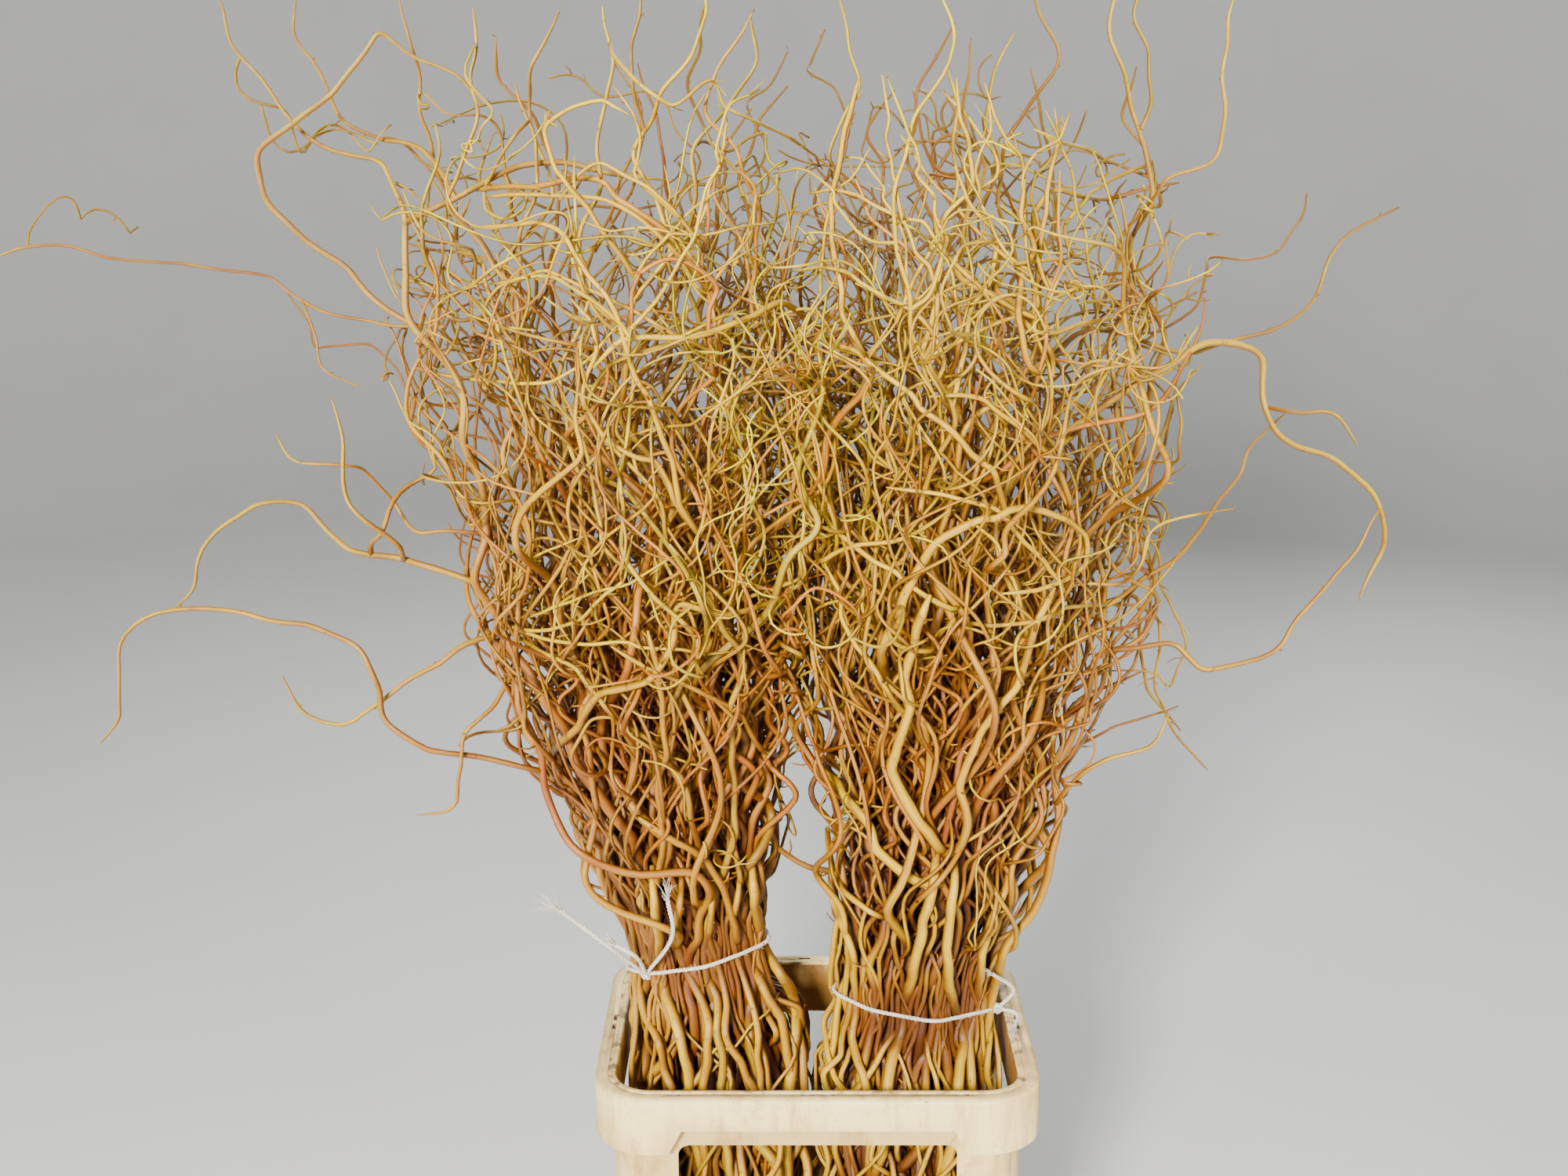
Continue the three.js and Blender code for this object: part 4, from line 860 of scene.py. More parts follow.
# Twigs on a run: from which height (None is just above the tie) to which (None is given with the run), their
# most share of its radius, their radii, lengths and room, the power of their tone, their least age, how level
# they reach, and how often they fork.
LOW_TWIGS = (None, 0.84, 0.8, (0.0016, 0.0025), (0.08, 0.26), (0.9, 1.12), 1.5, 0.3, (0.0, 0.75), 0.4)
HIGH_TWIGS = (0.82, None, 0.9, (0.0017, 0.0027), (0.12, 0.36), (0.85, 1.12), 1.0, 0.5, (0.2, 1.05), 0.55)


def bend_path(draw, start, heading, lift, length, swing, wave, side, room, turn_up=1.8):
    """A twig's run: it turns from its first heading to its lift, curling all the way like a corkscrew.

    Outside its room, a multiple of the bunch's half-width, it is led back in. Above the crown it levels out.
    """
    count = max(3, int(length / TWIG_STEP))
    marks = TWIG_STEP * np.arange(count + 1)
    if draw.random() < CURLING_SHARE:
        phase = draw.uniform(0, TURN)
        angle = phase + draw.choice((-1, 1)) * TURN * marks / wave
        u, v = 1.25 * swing * np.cos(angle), 1.25 * swing * draw.uniform(0.5, 1.0) * np.sin(angle)
    else:
        u, v = (swings(draw, marks, wave / 2, swing) for _ in range(2))
    fade = np.clip(marks / 0.03, 0, 1)
    u, v = u * fade, v * fade
    top = CROWN_HEIGHT[0] + (CROWN_HEIGHT[1] - CROWN_HEIGHT[0]) * draw.random() ** 0.8
    at = np.array(start, float)
    path = [at]
    before = unit(heading)
    for i in range(1, count + 1):
        blend = min(1.0, i / count * turn_up)
        base = heading * (1 - blend) + lift * blend
        j = min(bisect_left(HEIGHTS, at[2], 1), len(HEIGHTS) - 1)
        part = min(max((at[2] - HEIGHTS[j - 1]) / (HEIGHTS[j] - HEIGHTS[j - 1]), 0.0), 1.0)
        middle, half = (row[j - 1] + (row[j] - row[j - 1]) * part for row in (MIDDLES[side], HALVES[side]))
        off = hypot((at[0] - middle) / half, at[1] / (half * DEPTH_SPREAD))
        if off > room:
            pull = min(1.0, (off - room) * PULL_IN)
            base = base - np.array((at[0] - middle, at[1], 0.0)) / (half * off) * pull
        if at[2] > top:
            base = base - np.array((0.0, 0.0, min(1.2, (at[2] - top) * PULL_DOWN)))
        base = unit(base)
        beside = unit(cross(base, (0.13, 0.21, 1.0)))
        before = unit(unit(base + beside * u[i] + cross(beside, base) * v[i]) * 0.6 + before * 0.4)
        at = at + before * TWIG_STEP
        path.append(at)
    return np.array(path)


def buds_along(skin, draw, path, radii, spacing, first, tone):
    """Alternate buds on a twig, one each spacing."""
    gone = lengths_along(path)
    mark = first + spacing * draw.random()
    angle = draw.uniform(0, TURN)
    while mark < gone[-1] - 0.004:
        i = min(int(np.searchsorted(gone, mark)), len(path) - 1)
        along = unit(path[i] - path[i - 1])
        out = turned(along, angle)
        place = path[i] + out * radii[i] * 0.7
        skin.bud(place, along, out, draw.uniform(*BUD_LENGTHS), draw.uniform(*BUD_WIDTHS), tone)
        angle += pi * draw.uniform(0.75, 1.25)
        mark += spacing * draw.uniform(0.7, 1.3)


def spurs(skin, draw, path, radii, tone, ages, count, first, last):
    """Short stubs of side twigs, between two rings of a run."""
    for _ in range(count):
        i = draw.randrange(first, last)
        along, age = unit(path[i + 1] - path[i]), float(ages[i])
        way = turned(along, draw.uniform(0, TURN))
        way = unit(way + along * draw.uniform(0.2, 1.0))
        length = draw.uniform(*SPUR_LENGTHS)
        bend = path[i] + way * length * 0.5
        thick = min(radii[i] * 0.6, THICKEST_SPUR)
        stub = (path[i], bend, bend + unit(way + along * 0.7) * length * 0.5)
        skin.tube(stub, (thick, thick * 0.75, thick * 0.35), 4, (age, age, min(1, age + 0.3)), tone)


def lay_run(skin, side, path, radii, ages, tone, sides, most_turn, bright=0.0, cut_foot=False):
    """Puts a run into the skin with just the rings that it needs, and returns it at those rings.

    It is painted a deeper colour the further inside its bunch it lies, as painted shade, and it is deeper in
    a band above the ties, more so in the left one.
    Below the crown the runs between the outer ones get painted shade, where little light reaches them, and
    the outer ones get painted light that makes them brighter and yellower.
    """
    rings = thin_out(path, most_turn)
    path, radii, ages = (sampled(rings, np.arange(len(rows)), rows) for rows in (path, radii, ages))
    z, off, left = path[:, 2], off_middle(side, path), side == "left"
    outer = off / (1 - 0.09 * hump(z, TIE_HEIGHT[side], 0.08))  # a tie draws even the outer ones in
    # painted shade: the further inside its bunch a run lies, the deeper its colour is painted
    inner = np.clip((0.85 - off) / 0.6, 0, 1) * np.interp(z, (0.2, 0.75, 1.15), (1.0, 1.0, 0.0))
    # a deeper band above the ties is added, more in the left bunch
    deep = np.clip(inner + (0.34 if left else 0.12) * hump(z, 0.74, 0.13), 0, 1)
    # painted shade on all sides of the runs between the outer ones below the crown, more in the right bunch
    painted_gap_shade = np.interp(z, (0.60, 0.72), (0.45 if left else 0.85, 0.0)) * np.clip((1.0 - outer) / 0.18, 0, 1)
    # painted light: the outer runs below the crown are painted brighter and yellower, more in the right bunch
    golden = np.interp(z, (0.56, 0.70), (0.5 if left else 0.8, 0.0)) * np.clip((outer - 0.84) / 0.14, 0, 1)
    skin.tube(path, radii, sides, ages, tone, painted_gap_shade, cut_foot, deep=deep, bright=np.maximum(bright, golden))
    return path, radii


def away_from_middle(side, place):
    middle, _ = at_height(side, place[2])
    return unit(np.array((place[0] - middle, place[1], 0.0)))


def grow_twig(skin, draw, side, start, along, length, thick, tone, age, level, room, forks):
    """One fine twig with its own side twigs. A level of 0 rises with its stem and 1 reaches sideways."""
    around = draw.uniform(0, TURN)
    sideways = turned(along, around, (0.2, 0.1, 1.0))
    out = away_from_middle(side, start)
    heading = unit(along * 0.7 + sideways * draw.uniform(0.7, 1.2) + out * 0.2)
    flatly = np.array((cos(around * 1.7), sin(around * 1.7), 0.0))
    flatly = unit(unit(flatly) * 0.8 + out * draw.uniform(0, 0.9))
    lift = unit(flatly * level + np.array((0, 0, 1.15 - level)) + out * 0.15)
    swing, wave = draw.uniform(0.9, 1.5), draw.uniform(0.07, 0.15)
    path = bend_path(draw, start, heading, lift, length, swing, wave, side, room)
    share = np.linspace(0, 1, len(path))
    radii = thick + (TWIG_TIP - thick) * share**1.1
    path, radii = lay_run(skin, side, path, radii, age + (1 - age) * share, tone, 4, 0.3)
    few = draw.choice((0, 1, 1, 2))
    spurs(skin, draw, path, radii * 1.4, tone, np.full(len(path), 0.8), few, len(path) // 2, len(path) - 1)
    for _ in range(forks):
        i = int(draw.uniform(0.15, 0.85) * (len(path) - 2))
        way = unit(path[i + 1] - path[i])
        shorter = length * draw.uniform(0.3, 0.7)
        young = age + (1 - age) * (i / len(path))
        grow_twig(skin, draw, side, path[i], way, shorter, radii[i] * 0.8, tone, young, level, room, 0)


def free_end(draw, side, path, radii):
    """Carries a shoot on from its last level: a long arc that leans out of the bunch or across it."""
    along = unit(path[-1] - path[-3])
    out = away_from_middle(side, path[-1])
    sideways = np.array((-out[1], out[0], 0.0)) * draw.choice((-1, 1))
    high = smoothstep((path[-1][2] - 0.85) / 0.3)
    rise = draw.uniform(0.25, 1.2) * (1 - 0.5 * high)
    lift = unit(out * draw.uniform(-0.5, 0.9) + sideways * draw.uniform(0, 0.9) + np.array((0, 0, rise)))
    length, wave = draw.uniform(0.14, 0.34), draw.uniform(0.15, 0.30)
    end = bend_path(draw, path[-1], along, lift, length, draw.uniform(0.6, 1.2), wave, side, 1.05, 1.3)
    share = np.linspace(0, 1, len(end))
    thick = radii[-1] + (0.0009 - radii[-1]) * share**1.5
    return np.concatenate((path, end[1:])), np.concatenate((radii, thick[1:]))


def twigs_on(skin, draw, side, path, radii, ages, low, high, crown):
    """Sets twigs along a run: short ones inside the bunch and longer, leveller ones in the crown."""
    gone = lengths_along(path)
    for kind, count in ((LOW_TWIGS, low), (HIGH_TWIGS, high)):
        foot, top, most, sizes, lengths, rooms, power, young, level, forked = kind
        above = path[:, 2] > (foot or TIE_HEIGHT[side] + 0.03)
        inside = np.nonzero(above & (path[:, 2] < (top or crown)))[0]
        inside = inside[(inside > 1) & (inside < len(path) - 2)]
        if len(inside) < 3:
            continue
        wanted = count * (gone[inside[-1]] - gone[inside[0]]) / 0.3
        for _ in range(int(wanted) + (draw.random() < wanted % 1)):
            i = int(inside[draw.randrange(len(inside))])
            along = unit(path[i + 1] - path[i - 1])
            thick = min(radii[i] * most, draw.uniform(*sizes))
            length, room = draw.uniform(*lengths), draw.uniform(*rooms)
            grow_twig(skin, draw, side, path[i], along, length, thick, draw.random() ** power,
                      max(float(ages[i]), young), draw.uniform(*level), room, int(draw.random() < forked))


def ripple(draw, path, size, wave, tie):
    """Adds small waves to a run that a tie doesn't hold."""
    marks = lengths_along(path)
    phase = [draw.uniform(0, TURN) for _ in range(4)]
    fade = np.clip(marks / 0.06, 0, 1) * np.clip((marks[-1] - marks) / 0.05, 0, 1)
    fade = fade * (1 - hump(path[:, 2], tie, 0.035))
    turn = TURN * marks / wave
    moved = path.copy()
    moved[:, 0] += size * fade * (np.sin(phase[0] + turn) + 0.5 * np.sin(phase[1] + turn / 0.57))
    moved[:, 1] += size * fade * (np.cos(phase[2] + turn / 1.1) + 0.5 * np.sin(phase[3] + turn / 0.63))
    return moved


class Stem:
    """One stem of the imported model, with the runs that its solid shows."""

    def __init__(self, node, number):
        self.node = node
        self.side = "left" if "_left_" in node else "right"
        self.draw = random.Random(1000 + number)
        self.tone = self.draw.random()
        self.skin = Skin()
        self.runs = []
        for places, thick in read_stem(node):
            path, radii = smooth_run(places, thick)
            size, wave = (0.0022, 0.085) if self.runs else (0.0030, 0.105)
            self.runs.append((ripple(self.draw, path, size, wave, TIE_HEIGHT[self.side]), radii))
        self.level_place = stem_at_levels(*self.runs[0])


def dress_runs(stem):
    """The runs that the solid itself has, with twigs on them."""
    draw, skin, side = stem.draw, stem.skin, stem.side
    for order, (path, radii) in enumerate(stem.runs):
        main = order == 0
        share = np.linspace(0, 1, len(path))
        ages = 0.85 * np.clip((share - 0.45) / 0.55, 0, 1) if main else 0.4 + 0.5 * share
        gone = lengths_along(path)
        knots = 1 + 0.05 * np.sin(gone * TURN / 0.031 + stem.tone * 9)
        thick = np.maximum(radii * knots, 0.0008)
        ending = gone > gone[-1] - 0.03
        thick[ending] = np.linspace(thick[~ending][-1], 0.0007, ending.sum())
        path, thick = lay_run(skin, side, path, thick, ages, stem.tone, 8 if main else 6, 0.2, cut_foot=main)
        ages = np.interp(np.arange(len(path)) / (len(path) - 1), share, ages)
        twigs_on(skin, draw, side, path, thick, ages, 0.42, 0.55, 1.42)
        buds_along(skin, draw, path, thick, 0.07, 0.62 if main else 0.03, stem.tone)


def dress_shoot(stem, shoot):
    """A slender shoot of a stem: its way up through the bunch, its free end and its twigs."""
    draw, skin, side = stem.draw, stem.skin, stem.side
    path, radii = free_end(draw, side, shoot["path"], shoot["thick"])
    path, radii = smooth_run(path, radii, 0.005)
    late = shoot["parent"] is not None
    tone = shoot["tone"]
    if side == "left" and draw.random() < 0.3:
        tone = draw.uniform(0.0, 0.15)

    def age_at(z):
        return np.interp(z, (0.5, 0.85, 1.25), (0.15 if late else 0.0, 0.36, 0.95))

    path, radii = lay_run(skin, side, path, radii, age_at(path[:, 2]), tone, 4 if late else 5, 0.26)
    ages = age_at(path[:, 2])
    twigs_on(skin, draw, side, path, radii, ages, 0.22, 0.10, 1.18)
    if draw.random() < 0.03:
        # a knot of twigs that leave the end in all directions
        along = unit(path[-1] - path[-2])
        for _ in range(draw.randint(3, 6)):
            length, level = draw.uniform(0.05, 0.14), draw.uniform(0.3, 1.0)
            grow_twig(skin, draw, side, path[-1], along, length, 0.0012, tone, 0.7, level, 1.6, 0)
    spurs(skin, draw, path, radii, tone, ages, 2, len(path) // 3, len(path) - 2)


# ---------------------------------------------------------------- branches that stand out in front

PICTURE = (2000, 1500)
PROUD = 0.003  # how far a branch lies in front of its bunch
TIE_HOLD = 0.012  # this near to a tie a branch lies under the string
TIE_EASE = 0.05  # and over this height it comes out in front
CROWN_FOOT = 1.0  # above it the branches lie at different depths
CROWN_SINK = 0.06  # up to this far behind the front
SPREAD = 0.618  # of those depths, from one branch to the next
# The branches of the crown and the front, one after the other: the side, the radii at the foot and at the tip
# in mm, how bright, and the bends from the foot on, x and y in turn, where they are seen in the picture.
OUTSTANDING = """
left 4 1.8 0.5 696 975 709 954 738 926 761 888 803 876 830 865 853 834 860 799 864 773 880 773 910 782 933
  784 983 769 1017 769 1033 800 1027 830 1014 853 998 887;
left 2.8 2 0.2 991 964 968 953 949 918 926 899 895 884 864 868 826 853 795 834;
left 3.4 2.4 0.3 937 1060 937 1029 935 983 933 937 933 895 945 868 949 842 926 807 903 765 883 734 864
  708;
left 3.2 2.6 0 845 1080 845 1052 839 1006 849 960 845 914 841 865 830 820;
left 2.4 1.7 0.4 775 905 761 888 734 853 696 834 658 811;
left 2 1.4 0.7 640 795 668 803 704 803 742 788 769 761 795 738 803 700;
left 2.1 1.2 0.7 640 799 668 806 696 815 742 822 795 819 818 826 864 828 895 834 926 832;
left 1.7 1 0.5 640 792 680 785 720 770 760 755 800 745 850 715;
left 1.8 1 0.6 638 790 661 740 669 717 696 704 730 690;
left 3.6 3 0.4 933 1165 918 1125 903 1102 880 1083 845 1064 825 1050;
left 2.8 1.9 0.6 870 650 863 617 852 575 840 544 825 506 806 468 794 430 787 399 771 376 752 353 733 322
  714 296 687 284 649 288 611 290;
left 3.2 2 0.1 880 330 863 311 840 288 814 269 787 254 768 231 733 227 687 238 649 238 607 242;
left 2.4 1.6 0.3 850 310 814 277 787 261 756 252 718 250 664 248 630 250;
left 3.2 2.2 1 1080 450 1050 426 1024 403 1005 388 986 388 963 403 936 412 902 426 871 431 833 430 806 431
  787 437 770 455;
left 2.2 1.5 0.4 900 445 867 430 837 414 806 395 775 380 741 365 695 345 664 357 634 361;
left 2 1.2 0.5 740 372 726 365 703 353 664 355 634 368 618 399 630 415 670 420;
left 2.6 1.7 0.4 860 640 852 613 837 590 810 583 779 564 756 537 745 506 749 479 760 445 756 414 740 395;
left 2 1.2 0.7 590 483 622 485 664 489 703 487 737 468 756 453 775 430;
left 2.4 1.6 0 905 430 905 399 913 368 890 342 856 330 825 342 806 372 806 399;
left 1.8 1.1 0.8 860 320 879 300 902 265 905 238 921 200 925 170;
left 2 1.3 0.6 860 270 837 246 817 234 794 223 768 208 741 219 725 240;
right 4.8 3.8 1 1124 1090 1109 1056 1082 1021 1063 995 1033 968 1017 937 1002 903;
right 5.2 4 0.8 1171 1045 1149 1011 1139 983 1142 960 1149 938 1160 909 1157 887 1155 861 1163 830 1171
  798 1180 775;
right 4.2 3 0.6 1235 1050 1225 1010 1235 970 1254 932 1273 903 1299 874 1305 849 1315 820 1324 791 1337
  766;
right 4.8 1.7 0.7 1125 830 1146 785 1155 759 1168 731 1184 705 1203 686 1229 672 1254 662 1273 661 1286
  651 1311 648 1337 654 1362 665 1382 680 1386 699 1382 724 1356 740 1324 753 1292 756;
right 2.6 1.8 0.6 1353 745 1343 731 1327 712 1305 689 1286 667 1267 648 1229 638 1197 630 1149 624;
right 2.6 2 0.5 1165 750 1139 728 1114 715 1088 696 1063 673 1050 654 1040 630;
right 2.6 1.6 0.9 1050 715 1072 702 1101 694 1133 692 1162 683 1184 670 1197 661;
right 2 1 0.1 1275 1045 1292 1024 1337 979 1369 954 1391 944 1417 928 1449 919 1487 906;
right 2 1.1 0.3 1350 960 1369 935 1388 912 1410 893 1426 871 1445 849 1455 820 1464 791 1468 759 1468 721
  1461 689;
right 2 1 0 1330 790 1362 775 1401 772 1426 771 1455 775 1477 791 1480 817 1474 855 1474 877 1487 912 1503
  941 1530 971;
right 1.5 0.9 0.6 1440 690 1465 690 1477 705 1480 740 1493 772 1509 804 1514 823 1503 849 1493 877 1475
  860 1450 855 1415 856;
right 2 1.4 0.5 1300 765 1294 747 1283 721 1270 692 1248 673;
right 3.2 2 0.6 1270 610 1260 596 1241 580 1222 558 1200 539 1178 523 1162 504 1142 488 1120 472 1101 456
  1085 445 1060 440;
right 2.8 1.8 0.3 1345 590 1337 577 1315 561 1299 542 1273 526 1254 510 1229 504 1205 505;
right 3.6 2.6 0 1050 600 1056 561 1066 536 1082 520 1101 501 1107 475 1098 450 1075 440;
right 2.2 1.4 0.1 1180 410 1155 392 1130 380 1104 364 1079 348 1050 341 1020 345;
right 2.4 1.3 0.1 1225 400 1219 380 1209 367 1193 348 1178 335 1155 316 1133 297 1111 278 1100 250 1090
  225;
right 2.6 1.6 0.4 1235 420 1238 399 1248 380 1264 354 1270 329 1270 300 1251 278 1235 255 1225 230;
right 2 1.4 0.6 1345 425 1382 411 1394 410 1417 405 1426 389 1404 384 1382 386;
right 2.6 1.8 0.5 1320 280 1327 258 1337 246 1353 242 1378 250 1407 254 1433 249 1458 241 1487 236;
right 1.9 1.2 0.9 1235 430 1264 415 1292 405 1321 405 1337 418 1353 443 1369 462;
right 2.6 2 0.4 1130 880 1117 853 1090 822 1075 788 1071 757 1060 735;
right 3 2.2 0.2 1080 1140 1063 1113 1033 1106 1002 1090 983 1064 975 1025 979 991 972 960;
left 2.4 1.4 0.4 725 235 710 218 699 191 697 164 714 145 737 134 768 128 785 137;
left 1.7 1 0.7 830 245 808 222 812 206 817 176 810 149 794 126;
left 1.9 1.1 0 940 320 959 294 963 264 963 245 951 225 932 210 920 195;
left 1.8 1 0.8 885 300 902 237 917 210 915 191 928 137 955 122;
left 1.8 1 0 829 118 856 134 875 126 890 111 905 102 915 114 928 137 959 153 1001 172 1035 195 1045 210;
left 1.8 1.2 0.5 733 345 733 317 735 294 733 264 733 218;
left 1.8 1.1 0.6 625 225 618 245 622 268 641 279 664 271 672 252 664 241;
left 1.7 1.1 0.6 585 410 569 382 565 348 569 325 527 313;
left 1.8 1.1 0.5 640 335 603 363 565 378 538 371;
left 2 1.3 0.3 622 370 618 340 603 325 582 313 584 287 592 268;
left 1.4 0.8 0.8 870 310 859 298 820 290 780 295 757 287;
left 1.4 0.8 0.6 870 305 859 298 830 320 800 325 775 312;
left 1.4 0.8 0.8 862 312 859 298 880 270 905 250 925 240;
left 1.6 0.9 0.8 850 302 859 298 900 300 940 290 985 285;
left 1.4 0.8 0.7 862 315 859 298 850 270 855 250 851 230;
right 2.4 1.8 0.6 1325 330 1330 300 1335 250 1345 200 1350 179;
right 1.5 1 0.8 1305 260 1305 242 1308 214 1321 195 1350 179 1358 160;
right 1.4 0.9 0.8 1318 262 1318 242 1321 223 1337 207 1350 182 1347 155;
right 1.6 0.9 0.5 1388 330 1385 306 1372 255 1369 230 1362 207 1353 182 1340 155;
right 2 1.2 0.8 1475 235 1468 227 1445 217 1417 207 1388 191 1356 182 1330 170;
right 2.6 1.6 0.6 1200 335 1200 309 1203 284 1216 262 1238 242 1241 220 1238 198 1232 172 1225 150 1222
  120;
right 1.9 1.2 0.6 1310 280 1305 246 1307 223 1302 198 1283 179 1270 150 1262 125;
right 2.1 1.2 0.7 1210 275 1222 258 1241 246 1267 230 1273 217 1270 201 1254 176 1238 153 1215 130;
right 1.7 1 0.8 1252 262 1250 240 1245 220 1248 195 1264 169 1262 140;
right 2.1 1.2 0.2 1205 310 1200 290 1193 271 1190 249 1168 223 1174 211 1171 191 1158 172 1152 150 1140
  120;
right 1.8 1 0.2 1225 272 1213 255 1190 233 1174 211 1160 190;
right 2.2 1.2 0 1190 350 1178 332 1168 322 1155 287 1146 255 1138 223 1136 198 1131 172 1133 150 1128 115;
right 1.6 0.9 0.7 1150 290 1127 255 1127 242 1117 227 1101 204 1082 201;
right 2.8 2.2 0.6 1085 420 1075 400 1070 350 1060 300 1063 242 1069 214 1075 182 1082 150 1090 120;
right 1.6 0.9 0.8 1066 262 1063 242 1040 225 1020 215 995 220;
right 1.6 0.9 0.8 1058 262 1063 242 1085 230 1100 205;
right 2.1 1.3 0.7 1210 330 1197 309 1184 290 1174 282 1149 278 1117 262 1091 249 1063 242 1045 245;
right 2.1 1.3 0.6 1435 385 1439 354 1436 335 1423 303 1413 278 1420 262 1410 239;
right 2 1.3 0.6 1400 240 1382 258 1362 284 1359 309 1369 325 1388 319 1404 297 1413 278;
right 1.9 1.2 0.6 1310 335 1331 332 1356 332 1372 354 1366 376 1350 399 1350 418;
right 3 2.2 0.4 1315 405 1299 392 1273 373 1270 354 1273 329 1270 303 1260 280;
right 3 2 0.5 1270 380 1254 370 1229 357 1216 338 1200 313 1195 290;
right 3 2 0.3 1300 410 1302 373 1305 341 1321 319 1315 300 1302 278 1305 249
"""
# The same for those that stand in the container, of which some end under a tie and others pass under it.
STANDING = """
left 5.2 4.2 1 882 1430 880 1391 872 1341 861 1303 848 1262 842 1225 840 1190 834 1150;
left 4 3.6 0.3 866 1430 861 1395 846 1364 842 1330 823 1299 817 1262;
left 4.6 3.6 0.5 896 1430 897 1387 903 1341 903 1303 892 1269 873 1234 863 1200 866 1160;
left 4 3.6 0.2 922 1430 920 1395 922 1357 915 1315 915 1276 907 1255;
left 4 3 0.4 975 1430 964 1395 945 1357 926 1322 926 1276 918 1238 905 1200 908 1160;
left 3.6 2.8 0.2 985 1430 972 1395 968 1364 966 1315 957 1272 942 1228 934 1190 940 1150;
left 6 4.6 0.8 1004 1430 1006 1391 1010 1357 1014 1315 1014 1276 996 1243 978 1215 968 1180 962 1140;
left 4.5 4 0.3 1006 1365 1002 1330 996 1300 980 1272 968 1248;
left 1.6 1.1 0.6 905 1350 918 1334 934 1338 960 1307 983 1286;
left 2 1.6 0.3 998 1425 1003 1391 1018 1360 1033 1334 1027 1311 1018 1290;
right 3.2 3 0.6 1060 1255 1066 1272 1052 1303 1056 1341 1068 1380 1083 1393 1102 1380 1125 1341 1140 1318;
right 4.5 3.4 0.4 1108 1430 1104 1380 1094 1353 1087 1326 1092 1290 1090 1255 1087 1215 1075 1180 1064
  1150 1060 1110;
right 5.6 4.4 1 1220 1430 1221 1391 1225 1360 1228 1325 1219 1290 1210 1250 1209 1215 1209 1188 1216 1140;
right 6 4.6 0.8 1132 1430 1133 1391 1137 1352 1150 1318 1156 1276 1163 1246 1171 1211 1179 1173 1190 1130;
right 4.6 3.6 0.4 1238 1430 1240 1380 1236 1330 1246 1276 1251 1240 1254 1215 1262 1180 1280 1140;
right 2.5 2.2 0.3 1202 1430 1198 1391 1186 1357 1182 1330;
right 2 1.7 0.5 1164 1430 1161 1393 1152 1357 1140 1334;
right 3.6 3.2 0.2 1263 1430 1261 1391 1259 1357 1262 1325
"""


def read_branches():
    """The branches of both tables: side, foot, tip, brightness, bends, and whether one stands."""
    for table, standing in ((OUTSTANDING, False), (STANDING, True)):
        for row in table.split(";"):
            side, *numbers = row.split()
            foot, tip, bright, *bends = map(float, numbers)
            yield side, foot, tip, bright, list(zip(bends[::2], bends[1::2])), standing


def string_front(side):
    """The front half of the string of a bunch, from left to right."""
    loop, _, _ = tie_loop(side)
    loop = loop[loop[:, 1] < loop[:, 1].mean()]
    return loop[np.argsort(loop[:, 0])]


def in_front(side, string, pixel, thick, sunk):
    """The place on the front of a bunch that a pixel of the picture shows, or one sunk behind it.

    Near its tie, a branch lies in between the others, so that the string passes over it.
    """
    tilt = radians(CAMERA_PITCH)
    focus = LENS / SENSOR_WIDTH * PICTURE[0]
    across, down = pixel[0] - PICTURE[0] / 2, pixel[1] - PICTURE[1] / 2
    dy = focus * cos(tilt) - down * sin(tilt)
    dz = -focus * sin(tilt) - down * cos(tilt)
    y = -0.08
    for _ in range(16):
        far = (y - CAMERA_PLACE[1]) / dy
        x, z = CAMERA_PLACE[0] + across * far, CAMERA_PLACE[2] + dz * far
        middle, half = at_height(side, z)
        clear = smoothstep((abs(z - tie_plane(side, middle, x, y)) - TIE_HOLD) / TIE_EASE)
        round_share = sqrt(max(0.0, 1 - ((x - middle) / half) ** 2))
        free = -half * depth_at(side, z) * round_share - PROUD - thick + sunk
        tied = max(free, float(np.interp(x, string[:, 0], string[:, 1])) + STRING_RADIUS + thick)
        y = 0.5 * y + 0.5 * (free * clear + tied * (1 - clear))
    return np.array((x, y, z))


def nearest_stem(stems, place):
    """The stem whose own run comes nearest to a place, and where."""
    best = None
    for stem in stems:
        path, _ = stem.runs[0]
        far = norms(path - place)
        i = int(np.argmin(far))
        if best is None or far[i] < best[0]:
            best = (far[i], stem, path[i])
    return best[1:]


def plan_outstanding(side, stems):
    """The outstanding branches of a bunch: each leaves the nearest stem and runs by its bends."""
    plans = []
    string = string_front(side)
    for order, (own, foot, tip, bright, pixels, standing) in enumerate(read_branches()):
        if own != side:
            continue
        high = in_front(side, string, pixels[0], 0.0, 0.0)[2] > CROWN_FOOT
        sunk = CROWN_SINK * (order * SPREAD % 1) if high else 0.0
        bends = [in_front(side, string, pixel, foot * MM, sunk) for pixel in pixels]
        heading = unit(bends[1] - bends[0])
        stem, root = nearest_stem(stems, bends[0] - heading * (0.09 if standing else 0.05))
        halfway = (root + bends[0]) / 2 - heading * 0.012
        passes_under = standing and bends[-1][2] >= TIE_HEIGHT[side]
        tucked = 0.03 if passes_under else 0.016 if standing else 0.0
        end = bends[-1] + unit(bends[-1] - bends[-2]) * (0.03 if passes_under else 0.012)
        places = np.array([root, halfway, *bends, end + np.array((0.0, tucked, 0.0))])
        radii = (foot + (tip - foot) * np.linspace(0, 1, len(places))) * MM
        radii[-1] = (0.7 if standing else 0.4) * radii[-2]
        path, radii = smooth_run(places, radii)
        plans.append((stem, path, radii, bright, standing))
    return plans


